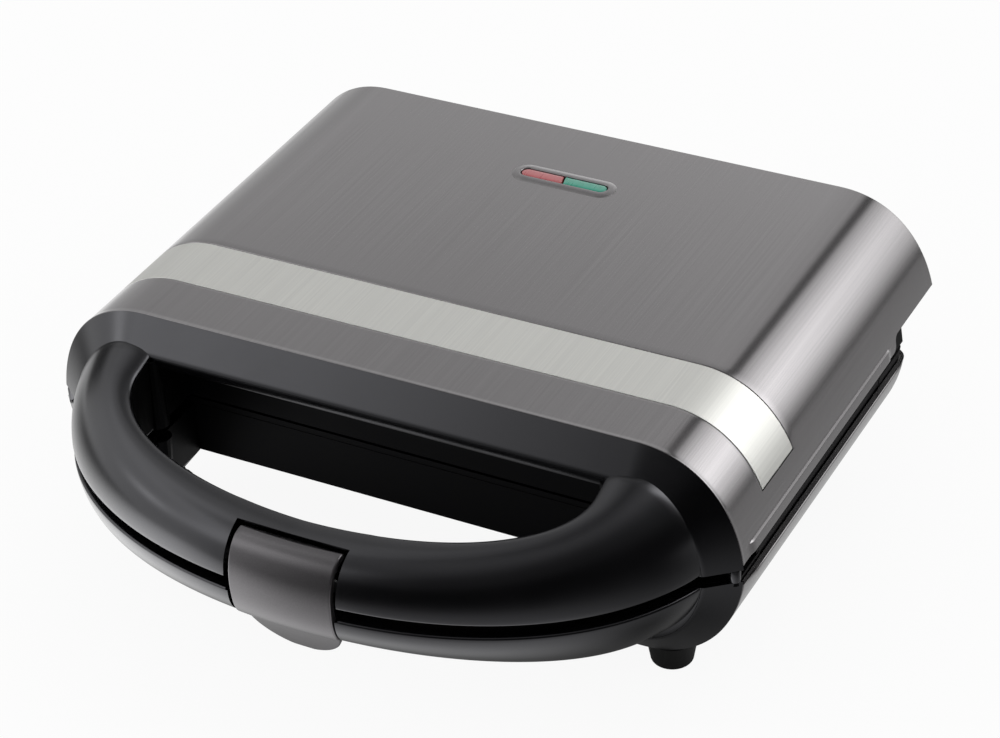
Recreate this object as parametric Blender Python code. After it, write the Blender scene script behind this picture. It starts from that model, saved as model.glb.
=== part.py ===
"""Sandwich maker: a base and a lid that mirror each other about the parting plane, each with
half of a D-shaped handle in front, hinged at the rear and held shut by a clip on the handle.

Metres, +Z up, front towards -Y. The origin is on the floor under the middle of the whole object.
Most shapes are worked out in half coordinates (x, y, h), where h is the distance from the parting
plane, upwards in the lid and downwards in the base.
"""

import math

import bmesh
import bpy
import numpy as np
from mathutils import Matrix, Vector

# Whole body
BODY_WIDTH = 0.232
TOTAL_HEIGHT = 0.084
GROUND_GAP = 0.0105
LID_LENGTH = 0.1529
BASE_SHORTER = 0.0209
CLEARANCE = 0.0003
OVERLAP = 0.00015
OVERRUN = 0.004
WALL = 0.0025
SHEET = 0.0012

# Rounded shoulders of the two metal shells, a quarter of a superellipse
SHOULDER_WIDTH = 0.0339
SHOULDER_OVERRUN = 0.00515
SHOULDER_POWER = 0.917
SHOULDER_STEPS = 12
BASE_CORNER_RADIUS = 0.006

# Edges above and below the parting plane
LID_EDGE = 0.0032
LID_REAR_EDGE = 0.0080
LID_EDGE_STEP_AHEAD = 0.0332
BASE_EDGE = 0.0044
RIM_HEIGHT = 0.0040
RIM_PROUD = 0.0007
RIM_START_BACK = 0.0040

# Bright band round the front of the lid
BAND_START_BACK = 0.0198
BAND_WIDTH = 0.0224
BAND_SHEET = 0.0006
BAND_END = 0.0152

# Sloped front ring and the finger bay behind the handle
BEVEL_DEPTH = 0.0085
BEVEL_DROP = 0.0095
LID_FRONT_FACE = 0.0017
BASE_FRONT_FACE = 0.0025
GRIP_INSET = 0.0395
BAY_BACK = 0.0120
BROW_HEIGHT = 0.01205
SCOOP_HEIGHT = 0.01645
SCOOP_RUN = 0.0240
SCOOP_SIDE_RUN = 0.0155
SCOOP_FRONT_RUN = 0.0120
SCOOP_LEAD_SHARE = 0.04
POST_RADIUS = 0.0026
POST_SPREAD = 0.0010
POST_OUTSET = 0.0005
POST_AHEAD = 0.0075
STOP_RADIUS = 0.0017
STOP_INSET = 0.0030
STOP_AHEAD = 0.0010

# Handle
HANDLE_REACH = 0.0654
HANDLE_INSET = 0.0064
HANDLE_CENTRE_BACK = 0.0160
HANDLE_POWER = 2.15
HANDLE_THICKNESS = 0.0172
GRIP_CURVE_AHEAD = 0.0146
GRIP_POWER = 2.06
HANDLE_FRONT_DROP = 0.02055
LID_HANDLE_ROOT_DROP = 0.01005
LID_HANDLE_CROWN = 0.0025
LID_HANDLE_POWERS = (1.85, 2.3)
BASE_HANDLE_ROOT_DROP = 0.01155
BASE_HANDLE_POWERS = (1.6, 2.4)
HANDLE_CROWN_SHARE = 0.31
HANDLE_FILLET = 0.0008
HANDLE_STATIONS = 20
HANDLE_ROUND_STEPS = 8

# Latch clip on the front of the handle
CLIP_HALF_WIDTH = 0.0169
CLIP_SHEET = 0.0024
CLIP_PROUD = 0.0008
CLIP_TOP_INSET = 0.0018
CLIP_LIP = 0.0107
CLIP_BOTTOM_INSET = 0.0034
CLIP_TUCK = 0.0053
CLIP_BOW = 0.0008
CLIP_POWER = 0.8
TONGUE_HALF_WIDTH = 0.0155
TONGUE_LENGTH = 0.0143
TONGUE_LEAN = 26.0
RECESS_HALF_WIDTH = 0.0186
RECESS_FLOOR_THICKNESS = 0.0048
LATCH_PIN_RADIUS = 0.0012
LATCH_PIN_BACK = 0.0088
LATCH_PIN_INSET = 0.0060
LATCH_LUG_RADIUS = 0.0026
LATCH_LUG_WIDTH = 0.0060
LATCH_LUG_CENTRE = 0.0105

# Hinge at the rear
HINGE_AHEAD = 0.0129
HINGE_HEIGHT = -0.00025
EAR_RADIUS = 0.0055
EAR_WIDTH = 0.0060
KNUCKLE_WIDTH = 0.0092
HINGE_INSET = 0.0530
PIN_RADIUS = 0.0020

# Cooking plates and what heats them
RING_FACE = 0.00045
RING_DEPTH = 0.0036
RING_INSET = 0.0050
PLATE_FACE = 0.0002
PLATE_INSET = 0.0128
PLATE_START_BACK = 0.0168
PLATE_END_AHEAD = 0.0078
FLANGE = 0.0030
POCKET_BORDER = 0.0035
POCKET_EDGE = 0.0057
POCKET_END_EDGE = 0.0067
POCKET_DEPTH_SHARE = 0.2721
POCKET_CORNER = 0.0050
POCKET_DRAFT = 0.0030
RIDGE_WIDTH = 0.0050
ELEMENT_RADIUS = 0.0030
ELEMENT_BEND = 0.0240
ELEMENT_INSET = 0.0472
TRAY_SHEET = 0.0008
TRAY_INSET = 0.0014
TRAY_WING = 0.0052
TRAY_FRONT = 0.0017
TRAY_REAR = 0.0100
STUD_RADIUS = 0.0045
STUD_INSET = 0.0237

# Feet, screws and electrical parts
FOOT_INSET = 0.0277
FOOT_FRONT_BACK = 0.0095
FOOT_REAR_AHEAD = 0.0150
FOOT_TOP_RADIUS = 0.0079
FOOT_BOTTOM_RADIUS = 0.0066
FOOT_ROUND = 0.0012
FOOT_HEIGHT = 0.0091
FOOT_PAD_RADIUS = 0.0083
BOSS_RADIUS = 0.0060
BOSS_HEIGHT = 0.0050
SCREW_RADIUS = 0.0015
SCREW_HEAD_RADIUS = 0.0030
SCREW_HEAD = 0.0018
SCREW_SLOT = 0.0008
SCREW_LENGTH = 0.0090
GLAND_RADIUS = 0.0060
GLAND_FLANGE = 0.0085
GLAND_BORE = 0.0035
GLAND_HEIGHT = 0.01475
THERMOSTAT_RADIUS = 0.0090
THERMOSTAT_HEIGHT = 0.0070
THERMOSTAT_TAB = 0.0025
FUSE_RADIUS = 0.0025
FUSE_LENGTH = 0.0160
TERMINAL_SIZE = (0.030, 0.014, 0.010)

# Lamp window on the lid
BEZEL_LENGTH = 0.0368
BEZEL_WIDTH = 0.0108
BEZEL_AHEAD = 0.0320
BEZEL_HEIGHT = 0.0011
LENS_LENGTH = 0.0305
LENS_WIDTH = 0.0044
LAMP_RADIUS = 0.0022
LAMP_LENGTH = 0.0110

# Worked out from the sizes above
PARTING = (TOTAL_HEIGHT + GROUND_GAP) / 2
HALF_HEIGHT = (TOTAL_HEIGHT - GROUND_GAP) / 2
FLAT_HALF = BODY_WIDTH / 2 - SHOULDER_WIDTH
SHOULDER_DROP = HALF_HEIGHT + SHOULDER_OVERRUN
BASE_LENGTH = LID_LENGTH - BASE_SHORTER
FRONT = (HANDLE_REACH + CLIP_PROUD - LID_LENGTH) / 2
LID_REAR = FRONT + LID_LENGTH
BASE_REAR = FRONT + BASE_LENGTH
HANDLE_FRONT = FRONT - HANDLE_REACH
LID_EDGE_STEP = LID_REAR - LID_EDGE_STEP_AHEAD
GRIP_HALF_WIDTH = BODY_WIDTH / 2 - GRIP_INSET
BROW_UNDERSIDE = HALF_HEIGHT - BROW_HEIGHT
BAY_WALL_DEPTH = HALF_HEIGHT - SCOOP_HEIGHT
HANDLE_HALF_WIDTH = BODY_WIDTH / 2 - HANDLE_INSET
HANDLE_FRONT_DEPTH = HALF_HEIGHT - HANDLE_FRONT_DROP
CLIP_TOP = HANDLE_FRONT_DEPTH - CLIP_TOP_INSET
CLIP_BELOW = HANDLE_FRONT_DEPTH - CLIP_BOTTOM_INSET
REAR_WALL = BASE_REAR - SHEET - CLEARANCE
INSIDE = SHEET + CLEARANCE
RING_HALF_WIDTH = BODY_WIDTH / 2 - RING_INSET
PLATE_HALF_WIDTH = BODY_WIDTH / 2 - PLATE_INSET
PLATE_START = FRONT + PLATE_START_BACK
PLATE_END = BASE_REAR - PLATE_END_AHEAD
PLATE_MIDDLE = (PLATE_START + PLATE_END) / 2
POCKET_DEPTH = HALF_HEIGHT * POCKET_DEPTH_SHARE
POCKET_BACK = PLATE_FACE + POCKET_DEPTH + WALL
ELEMENT_LEVEL = POCKET_BACK + CLEARANCE + ELEMENT_RADIUS
TRAY_INSIDE = ELEMENT_LEVEL + ELEMENT_RADIUS + CLEARANCE
TRAY_BACK = TRAY_INSIDE + TRAY_SHEET
TRAY_HALF_WIDTH = PLATE_HALF_WIDTH - TRAY_INSET
BEZEL_MIDDLE = LID_REAR - BEZEL_AHEAD
RECESS_FLOOR = HANDLE_FRONT + HANDLE_THICKNESS - RECESS_FLOOR_THICKNESS
LATCH_AXIS = (HANDLE_FRONT + LATCH_PIN_BACK, HANDLE_FRONT_DEPTH - LATCH_PIN_INSET)
HINGE_AXIS = (LID_REAR - HINGE_AHEAD, HINGE_HEIGHT)
LID, BASE = 1, -1

FINISHES = {
    "gunmetal": ((0.17, 0.17, 0.175), 0.34, 1.0),
    "brushed_steel": ((0.60, 0.59, 0.57), 0.30, 1.0),
    "black_moulding": ((0.020, 0.020, 0.022), 0.42, 0.0),
    "clip_metal": ((0.10, 0.095, 0.10), 0.38, 0.9),
    "non_stick": ((0.035, 0.035, 0.037), 0.50, 0.2),
    "aluminium": ((0.75, 0.76, 0.77), 0.35, 1.0),
    "plated_steel": ((0.62, 0.62, 0.62), 0.30, 1.0),
    "rubber": ((0.015, 0.015, 0.015), 0.80, 0.0),
    "ceramic": ((0.80, 0.78, 0.72), 0.60, 0.0),
    "red_lens": ((0.45, 0.05, 0.04), 0.20, 0.0),
    "green_lens": ((0.02, 0.30, 0.16), 0.20, 0.0),
    "lamp_glass": ((0.80, 0.80, 0.78), 0.10, 0.0),
}


# Making, cutting and naming solids
def clear_scene():
    for thing in list(bpy.data.objects):
        bpy.data.objects.remove(thing)


def finish_material(name):
    """The Principled material of one finish, made when it is first asked for."""
    if name in bpy.data.materials:
        return bpy.data.materials[name]
    colour, roughness, metallic = FINISHES[name]
    material = bpy.data.materials.new(name)
    material.use_nodes = True
    shader = material.node_tree.nodes["Principled BSDF"]
    shader.inputs["Base Color"].default_value = (*colour, 1.0)
    shader.inputs["Roughness"].default_value = roughness
    shader.inputs["Metallic"].default_value = metallic
    material.diffuse_color = (*colour, 1.0)
    return material


def place(points, side):
    """World places of points given as (x, y, h) in the lid (side 1) or the base (side -1)."""
    points = np.array(points, dtype=float)
    points[..., 2] = PARTING + side * points[..., 2]
    return points


def solid(points, faces):
    """A closed mesh object with its faces turned outwards."""
    mesh = bpy.data.meshes.new("solid")
    mesh.from_pydata([tuple(p) for p in points], [], faces)
    shell = bmesh.new()
    shell.from_mesh(mesh)
    bmesh.ops.recalc_face_normals(shell, faces=shell.faces)
    shell.to_mesh(mesh)
    shell.free()
    thing = bpy.data.objects.new("solid", mesh)
    bpy.context.scene.collection.objects.link(thing)
    return thing


def loft(rings):
    """A solid through closed rings of equally many points, capped at both ends."""
    rings = np.array(rings, dtype=float)
    count, around = rings.shape[:2]
    faces = [tuple(range(around)), tuple(range((count - 1) * around, count * around))]
    for i in range(count - 1):
        for j in range(around):
            k = (j + 1) % around
            near, far = i * around, (i + 1) * around
            faces.append((near + j, near + k, far + k))
            faces.append((near + j, far + k, far + j))
    return solid(rings.reshape(-1, 3), faces)


def sheet(outer, inner):
    """A closed solid between two grids of places, rows by columns, joined round their edges."""
    rows, columns = outer.shape[:2]
    index = np.arange(rows * columns).reshape(rows, columns)
    layer = rows * columns
    quads = [
        (index[i, j], index[i, j + 1], index[i + 1, j + 1], index[i + 1, j])
        for i in range(rows - 1)
        for j in range(columns - 1)
    ]
    quads += [tuple(layer + corner for corner in quad) for quad in quads]
    edge = [*index[0], *index[1:, -1], *index[-1, -2::-1], *index[-2:0:-1, 0]]
    quads += [(a, b, b + layer, a + layer) for a, b in zip(edge, edge[1:] + edge[:1])]
    triangles = [half for a, b, c, d in quads for half in ((a, b, c), (a, c, d))]
    points = np.vstack([outer.reshape(-1, 3), inner.reshape(-1, 3)])
    return solid(points, [tuple(int(corner) for corner in triangle) for triangle in triangles])


def box(side, low, high):
    """A block between two corners in half coordinates."""
    (x0, y0, h0), (x1, y1, h1) = low, high
    ring = [(x0, y0), (x1, y0), (x1, y1), (x0, y1)]
    return loft([place([(x, y, h) for x, y in ring], side) for h in (h0, h1)])


def upright(side, centre, stations, steps=24):
    """A round solid standing square to the parting plane, through stations of (h, radius)."""
    turn = np.linspace(0, 2 * math.pi, steps, endpoint=False)
    circle = np.column_stack([np.cos(turn), np.sin(turn)])
    rings = [np.column_stack([circle * r + centre, np.full(steps, h)]) for h, r in stations]
    return loft([place(ring, side) for ring in rings])


def across(side, centre, radius, x0, x1, steps=24):
    """A round bar along X about a centre given as (y, h)."""
    turn = np.linspace(0, 2 * math.pi, steps, endpoint=False)
    y, h = centre[0] + radius * np.cos(turn), centre[1] + radius * np.sin(turn)
    return loft([place(np.column_stack([np.full(steps, x), y, h]), side) for x in (x0, x1)])


def along(side, centre, radius, y0, y1, steps=24):
    """A round bar along Y about a centre given as (x, h)."""
    turn = np.linspace(0, 2 * math.pi, steps, endpoint=False)
    x, h = centre[0] + radius * np.cos(turn), centre[1] + radius * np.sin(turn)
    return loft([place(np.column_stack([x, np.full(steps, y), h]), side) for y in (y0, y1)])


def combine(body, tool, operation):
    """The body after one Boolean with the tool, which is used up."""
    modifier = body.modifiers.new("combine", "BOOLEAN")
    modifier.operation = operation
    modifier.object = tool
    bpy.context.view_layer.update()
    graph = bpy.context.evaluated_depsgraph_get()
    mesh = bpy.data.meshes.new_from_object(body.evaluated_get(graph))
    body.modifiers.clear()
    body.data = mesh
    bpy.data.objects.remove(tool)
    return body


def cut(body, *tools):
    for tool in tools:
        combine(body, tool, "DIFFERENCE")
    return body


def fuse(body, *parts):
    for part in parts:
        combine(body, part, "UNION")
    return body


def name_piece(thing, name, finish, carrier=None):
    """Names a finished solid, gives it its material and hangs it on the joint that carries it."""
    thing.name = name
    thing.data.name = name
    thing.data.materials.clear()
    thing.data.materials.append(finish_material(finish))
    thing.data.shade_smooth()
    thing.data.set_sharp_from_angle(angle=math.radians(30))
    if carrier:
        bpy.context.view_layer.update()
        thing.data.transform(Matrix.Translation(-carrier.matrix_world.translation))
        thing.parent = carrier
    return thing


def joint(name, axis, parent=None):
    """An empty on a joint's axis, which runs along X through (y, h)."""
    empty = bpy.data.objects.new(name, None)
    bpy.context.scene.collection.objects.link(empty)
    empty.location = Vector((0, axis[0], PARTING + axis[1]))
    if parent:
        empty.parent = parent
        empty.location -= parent.location
    return empty


# Outlines
def shoulder(offset, low, high, steps=SHOULDER_STEPS):
    """Points (x, h) down the right shoulder, drawn in by offset: x runs with sin(t) to a power
    and the drop with one minus cos(t) to the same power, from height high to height low."""
    width, drop = SHOULDER_WIDTH - offset, SHOULDER_DROP - offset
    top = HALF_HEIGHT - offset

    def angle(h):
        return math.acos(max(0.0, 1 - (top - h) / drop) ** (1 / SHOULDER_POWER))

    t = np.linspace(angle(min(high, top)), angle(low), steps + 1)
    x = FLAT_HALF + width * np.sin(t) ** SHOULDER_POWER
    return np.column_stack([x, top - drop * (1 - np.cos(t) ** SHOULDER_POWER)])


def arch(offset, low):
    """Points (x, h) over the whole arch from its left foot to its right foot."""
    right = shoulder(offset, low, HALF_HEIGHT)
    return np.vstack([right[::-1] * (-1, 1), right])


def arch_block(side, low, *stations):
    """A filled arch through stations of (y, offset), flat underneath."""
    rings = []
    for y, offset in stations:
        outline = arch(offset, low)
        rings.append(place(np.insert(outline, 1, y, axis=1), side))
    return loft(rings)


def arch_grid(side, low, stations):
    """Rows of places over the arch, one row for each station of (y, offset)."""
    return np.array([place(np.insert(arch(offset, low), 1, y, axis=1), side) for y, offset in stations])


def arch_sheet(side, low, thickness, stations, inner_stations=None):
    """A bent sheet through stations of (y, offset) of its outer face."""
    if inner_stations is None:
        inner_stations = [(y, offset + thickness) for y, offset in stations]
    return sheet(arch_grid(side, low, stations), arch_grid(side, low, inner_stations))


def rounded_end(rear, inset, turns):
    """Stations that carry an arch round the base's rear corner, at an inset from its outside."""
    radius = BASE_CORNER_RADIUS - inset
    centre = rear - BASE_CORNER_RADIUS
    return [(centre + radius * math.sin(t), inset + radius * (1 - math.cos(t))) for t in np.radians(turns)]


def rolled_rim(side, x_sign, start, end, low, high):
    """The rim rolled outwards along a shell's lower edge, as a strip of its shoulder."""
    outside = shoulder(-RIM_PROUD, low + OVERLAP, high, 2)
    inside = shoulder(SHEET / 2, low + OVERLAP, high, 2)
    outline = np.vstack([outside, inside[::-1]]) * (x_sign, 1)
    return loft([place(np.insert(outline, 1, y, axis=1), side) for y in (start, end)])


def side_prism(side, half_width, outline):
    """A solid of outline (y, h) carried along X from -half_width to half_width."""
    return loft([place([(x, y, h) for y, h in outline], side) for x in (-half_width, half_width)])


def oval(length, width, steps=12):
    """A slot outline (x, y): two half circles joined by straight sides."""
    radius = width / 2
    turn = np.linspace(-math.pi / 2, math.pi / 2, steps + 1)
    end = np.column_stack([length / 2 - radius + radius * np.cos(turn), radius * np.sin(turn)])
    return np.vstack([end, -end])


def oval_solid(side, centre, stations):
    """A slot-shaped solid through stations of (h, length, width)."""
    rings = []
    for h, length, width in stations:
        outline = oval(length, width) + centre
        rings.append(place(np.insert(outline, 2, h, axis=1), side))
    return loft(rings)


def rounded(corners, radius, steps=4):
    """A convex outline with every corner turned into an arc of the radius."""
    corners = np.array(corners, dtype=float)
    points = []
    for i, corner in enumerate(corners):
        before = corners[i - 1] - corner
        after = corners[(i + 1) % len(corners)] - corner
        before, after = before / np.linalg.norm(before), after / np.linalg.norm(after)
        half = math.acos(np.clip(before @ after, -1, 1)) / 2
        middle = (before + after) / np.linalg.norm(before + after)
        centre = corner + middle * radius / math.sin(half)
        start = corner + before * radius / math.tan(half) - centre
        end = corner + after * radius / math.tan(half) - centre
        sweep = math.pi - 2 * half
        for share in np.linspace(0, 1, steps + 1):
            weights = math.sin((1 - share) * sweep), math.sin(share * sweep)
            points.append(centre + (weights[0] * start + weights[1] * end) / math.sin(sweep))
    return np.array(points)


# Shells
def edge_step():
    """What is cut off the lid shell's lower edge behind the step: an S of two arcs."""
    corner = LID_EDGE_STEP
    radius = (LID_REAR_EDGE - LID_EDGE) / 2
    turn = np.linspace(0, math.pi / 2, 5)
    lower = [(corner - radius + radius * math.sin(t), LID_EDGE + radius * (1 - math.cos(t))) for t in turn]
    upper = [(corner + radius * (1 - math.cos(t)), LID_EDGE + radius + radius * math.sin(t)) for t in turn]
    ends = [(LID_REAR + OVERRUN, LID_REAR_EDGE), (LID_REAR + OVERRUN, LID_EDGE - OVERRUN)]
    start = [(corner - radius, LID_EDGE - OVERRUN)]
    return side_prism(LID, BODY_WIDTH, start + lower + upper[1:] + ends)


def bezel_hole():
    return oval_solid(
        LID,
        (0, BEZEL_MIDDLE),
        [
            (h, LENS_LENGTH + 2 * WALL + 2 * CLEARANCE, LENS_WIDTH + 2 * WALL + 2 * CLEARANCE)
            for h in (HALF_HEIGHT - SHEET - OVERRUN, HALF_HEIGHT + OVERRUN)
        ],
    )


def make_lid_shell(carrier):
    body = cut(arch_sheet(LID, LID_EDGE, SHEET, [(FRONT, 0), (LID_REAR, 0)]), bezel_hole())
    rim_start = FRONT + RIM_START_BACK
    rim_end = LID_EDGE_STEP - LID_REAR_EDGE + LID_EDGE
    for x_sign in (-1, 1):
        fuse(body, rolled_rim(LID, x_sign, rim_start, rim_end, LID_EDGE, LID_EDGE + RIM_HEIGHT))
    start = FRONT + BAND_START_BACK
    pocket = arch_sheet(
        LID,
        BAND_END - CLEARANCE,
        BAND_SHEET + CLEARANCE + OVERRUN / 2,
        [(start - CLEARANCE, -OVERRUN / 2), (start + BAND_WIDTH + CLEARANCE, -OVERRUN / 2)],
    )
    cut(body, edge_step(), pocket)
    return name_piece(body, "lid_shell", "gunmetal", carrier)


def make_lid_band(carrier):
    start = FRONT + BAND_START_BACK
    body = arch_sheet(LID, BAND_END, BAND_SHEET, [(start, 0), (start + BAND_WIDTH, 0)])
    return name_piece(body, "lid_band", "brushed_steel", carrier)


def make_base_shell():
    turns = (0, 25, 50, 75)
    outer = [(FRONT, 0), *rounded_end(BASE_REAR, 0, turns)]
    inner = [(FRONT, SHEET), *rounded_end(BASE_REAR, SHEET, turns)]
    body = arch_sheet(BASE, BASE_EDGE, SHEET, outer, inner)
    rim_start, rim_end = FRONT + RIM_START_BACK, BASE_REAR - BASE_CORNER_RADIUS
    for x_sign in (-1, 1):
        fuse(body, rolled_rim(BASE, x_sign, rim_start, rim_end, BASE_EDGE, BASE_EDGE + RIM_HEIGHT / 2))
    cut(body, *bay_cutters(BASE, 0))
    for spot, front in foot_places():
        radius = (FOOT_PAD_RADIUS if front else SCREW_RADIUS) + CLEARANCE
        cut(body, upright(BASE, spot, [(HALF_HEIGHT - 2 * OVERRUN, radius), (HALF_HEIGHT + OVERRUN, radius)]))
    return name_piece(body, "base_shell", "gunmetal")


# Housings
def bay_cutters(side, wall):
    """The space for the fingers behind the handle, grown by a wall: closed above by the brow in
    the lid, and open below through a scoop with sloping sides in the base."""
    width = GRIP_HALF_WIDTH + wall
    back = FRONT + BAY_BACK + wall
    ahead = FRONT - BEVEL_DEPTH - OVERRUN
    top = BROW_UNDERSIDE + wall if side == LID else BAY_WALL_DEPTH
    deep = HALF_HEIGHT + OVERRUN
    cutters = [box(side, (-width, ahead, -OVERRUN), (width, back, top if side == LID else deep))]
    if side == BASE:
        reach = (deep - BAY_WALL_DEPTH) / (HALF_HEIGHT - BAY_WALL_DEPTH)
        start = FRONT - CLEARANCE - wall
        rings = []
        lead = BAY_WALL_DEPTH - SCOOP_HEIGHT * SCOOP_LEAD_SHARE
        for h, share in ((lead, -SCOOP_LEAD_SHARE), (deep, reach)):
            x_front = width + SCOOP_FRONT_RUN * share
            x_back = width + SCOOP_SIDE_RUN * share
            y = back + SCOOP_RUN * share
            ring = [(-x_front, start, h), (x_front, start, h), (x_back, y, h), (-x_back, y, h)]
            rings.append(place(ring, side))
        cutters.append(loft(rings))
    return cutters


def front_block(side, face):
    """The front corners and the sloped ring, hollow behind, with the walls of the finger bay."""
    bevel_front = FRONT - BEVEL_DEPTH
    rear = FRONT + (BAY_BACK + SCOOP_RUN + WALL if side == BASE else BAY_BACK + 3 * WALL)
    lip = FRONT - CLEARANCE
    outside = [(rear, INSIDE), (lip, INSIDE), (lip - CLEARANCE, 0), (bevel_front, BEVEL_DROP)]
    body = arch_block(side, face, *outside)
    hollow = arch_block(
        side,
        face + WALL,
        (rear + OVERRUN, INSIDE + WALL),
        (FRONT - 2 * CLEARANCE, INSIDE + WALL),
        (bevel_front + WALL, BEVEL_DROP + WALL / 2),
    )
    cut(hollow, *bay_cutters(side, WALL))
    behind = box(
        side,
        (-BODY_WIDTH, FRONT + BAY_BACK + WALL, -OVERRUN),
        (BODY_WIDTH, rear + OVERRUN, face + WALL + CLEARANCE),
    )
    cut(body, hollow, *bay_cutters(side, 0), behind)
    return body


def handle_section(share, x_sign, face, root_depth, crown, powers):
    """One section of the handle. The share runs from 0 at the start, inside the front corner, to
    1 in the middle of the front. The outer edge follows a superellipse, the inner edge a straight
    wall and then another superellipse, and the section between them is a flat inner wall, a short
    crown and a rounded outer quarter."""
    root = FRONT - BEVEL_DEPTH
    start = root + WALL - CLEARANCE
    centre = FRONT + HANDLE_CENTRE_BACK
    length = HANDLE_REACH + HANDLE_CENTRE_BACK
    first = math.asin(((centre - start) / length) ** (HANDLE_POWER / 2))
    turn = first + (math.pi / 2 - first) * share
    outer_x = HANDLE_HALF_WIDTH * math.cos(turn) ** (2 / HANDLE_POWER)
    outer_y = centre - length * math.sin(turn) ** (2 / HANDLE_POWER)
    curve_start = FRONT - GRIP_CURVE_AHEAD
    inner_front = HANDLE_FRONT + HANDLE_THICKNESS
    straight = (start - curve_start) / (start - inner_front) / 2
    if share <= straight:
        inner_x = GRIP_HALF_WIDTH - OVERLAP
        inner_y = start + (curve_start - start) * share / straight
    else:
        turn = math.pi / 2 * (share - straight) / (1 - straight)
        inner_x = (GRIP_HALF_WIDTH - OVERLAP) * math.cos(turn) ** (2 / GRIP_POWER)
        inner_y = curve_start - (curve_start - inner_front) * math.sin(turn) ** (2 / GRIP_POWER)
    rise = (root - inner_y) / (root - inner_front)
    inner_top = root_depth + (HANDLE_FRONT_DEPTH - root_depth) * max(rise, 0.0)
    fade = 1 - share
    peak = inner_top + crown * fade
    peak_at = HANDLE_CROWN_SHARE * fade
    power = powers[0] + (powers[1] - powers[0]) * (1 - fade)
    turns = np.radians([0, 45])
    across_share = list(peak_at * (1 - np.cos(turns)))
    height = list(inner_top + (peak - inner_top) * np.sin(turns))
    for t in np.linspace(0, math.pi / 2, HANDLE_ROUND_STEPS + 1):
        across_share.append(peak_at + (1 - peak_at) * math.sin(t) ** (2 / power))
        height.append(face + (peak - face) * max(math.cos(t), 0.0) ** (2 / power))
    fillet = HANDLE_FILLET * (1 - np.cos(np.radians([0, 45, 90])))
    width = math.hypot(outer_x - inner_x, outer_y - inner_y)
    u = np.array([*fillet[::-1] / width, *across_share[:-1], *(1 - fillet / width)])
    h = np.array([*face + fillet, *height[:-1], *face + fillet[::-1]])
    x = x_sign * (inner_x + (outer_x - inner_x) * u)
    y = inner_y + (outer_y - inner_y) * u
    return np.column_stack([x, y, h])


def handle(side, face):
    """Half of the D-shaped handle, lofted from root to root."""
    if side == LID:
        form = (face + OVERLAP, HALF_HEIGHT - LID_HANDLE_ROOT_DROP, LID_HANDLE_CROWN, LID_HANDLE_POWERS)
    else:
        form = (face + OVERLAP, HALF_HEIGHT - BASE_HANDLE_ROOT_DROP, 0, BASE_HANDLE_POWERS)
    shares = np.linspace(0, 1, HANDLE_STATIONS + 1)
    rings = [handle_section(share, -1, *form) for share in shares]
    rings += [handle_section(share, 1, *form) for share in shares[-2::-1]]
    return loft([place(ring, side) for ring in rings])


def latch_recess(side, extra=0.0):
    """The slot across the handle's front that takes the clip."""
    half = RECESS_HALF_WIDTH + extra
    return box(side, (-half, HANDLE_FRONT - OVERRUN, -OVERRUN), (half, RECESS_FLOOR, HALF_HEIGHT))


def ring_frame(side, rear):
    """The flat ring round the cooking plate, with a skirt up inside the shell."""
    front = FRONT + BAY_BACK + OVERLAP
    body = box(side, (-RING_HALF_WIDTH, front, RING_FACE), (RING_HALF_WIDTH, rear, RING_FACE + RING_DEPTH))
    skirt_ends = [(front + OVERLAP, INSIDE + OVERLAP), (rear - OVERLAP, INSIDE + OVERLAP)]
    skirt = arch_sheet(side, RING_FACE + OVERLAP, WALL, skirt_ends)
    above = box(
        side,
        (-BODY_WIDTH, FRONT, RING_FACE + RING_DEPTH + 2 * RIM_HEIGHT),
        (BODY_WIDTH, LID_REAR + OVERRUN, HALF_HEIGHT + OVERRUN),
    )
    return fuse(body, cut(skirt, above))


def plate_opening(side):
    """The rectangular hole that the plate and the heat shield stand in."""
    return box(
        side,
        (-PLATE_HALF_WIDTH - CLEARANCE, PLATE_START - CLEARANCE, -OVERRUN),
        (PLATE_HALF_WIDTH + CLEARANCE, PLATE_END + CLEARANCE, TRAY_BACK + CLEARANCE),
    )


def lid_rear_cap(start):
    """The closed rear end inside the lid shell, open towards the front."""
    low = LID_REAR_EDGE - CLEARANCE
    rear = LID_REAR - 2 * CLEARANCE
    body = arch_block(LID, low, (start, INSIDE), (rear, INSIDE))
    hollow = [(start - OVERRUN, INSIDE + WALL), (rear - WALL, INSIDE + WALL)]
    return cut(body, arch_block(LID, low + WALL, *hollow))


def base_rear_cap(start):
    """The closed rear end inside the base shell, rounded as the shell is."""
    low = RING_FACE + 2 * OVERLAP
    body = arch_block(BASE, low, (start, INSIDE), *rounded_end(BASE_REAR, INSIDE, (0, 25, 50, 75, 90)))
    hollow = [(start - OVERRUN, INSIDE + WALL), (REAR_WALL - WALL, INSIDE + WALL)]
    return cut(body, arch_block(BASE, RING_FACE + RING_DEPTH, *hollow))


def corner_posts(side, face):
    """Tapered posts in the two outer corners of the finger bay."""
    posts = []
    top = BROW_UNDERSIDE + WALL / 2 if side == LID else BAY_WALL_DEPTH
    for x_sign in (-1, 1):
        centre = (x_sign * (GRIP_HALF_WIDTH + POST_OUTSET), FRONT - POST_AHEAD)
        wide, narrow = POST_RADIUS + POST_SPREAD, POST_RADIUS
        posts.append(upright(side, centre, [(face + 2 * OVERLAP, wide), (top, narrow)], 16))
    return posts


def hinge_places():
    """The middle of each hinge: left, then right."""
    spread = BODY_WIDTH / 2 - HINGE_INSET
    return -spread, spread


def hinge_bore(side, centre, clearance):
    half = KNUCKLE_WIDTH / 2 + EAR_WIDTH + OVERRUN
    axis = (HINGE_AXIS[0], side * HINGE_AXIS[1])
    return across(side, axis, PIN_RADIUS + clearance, centre - half, centre + half)


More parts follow.
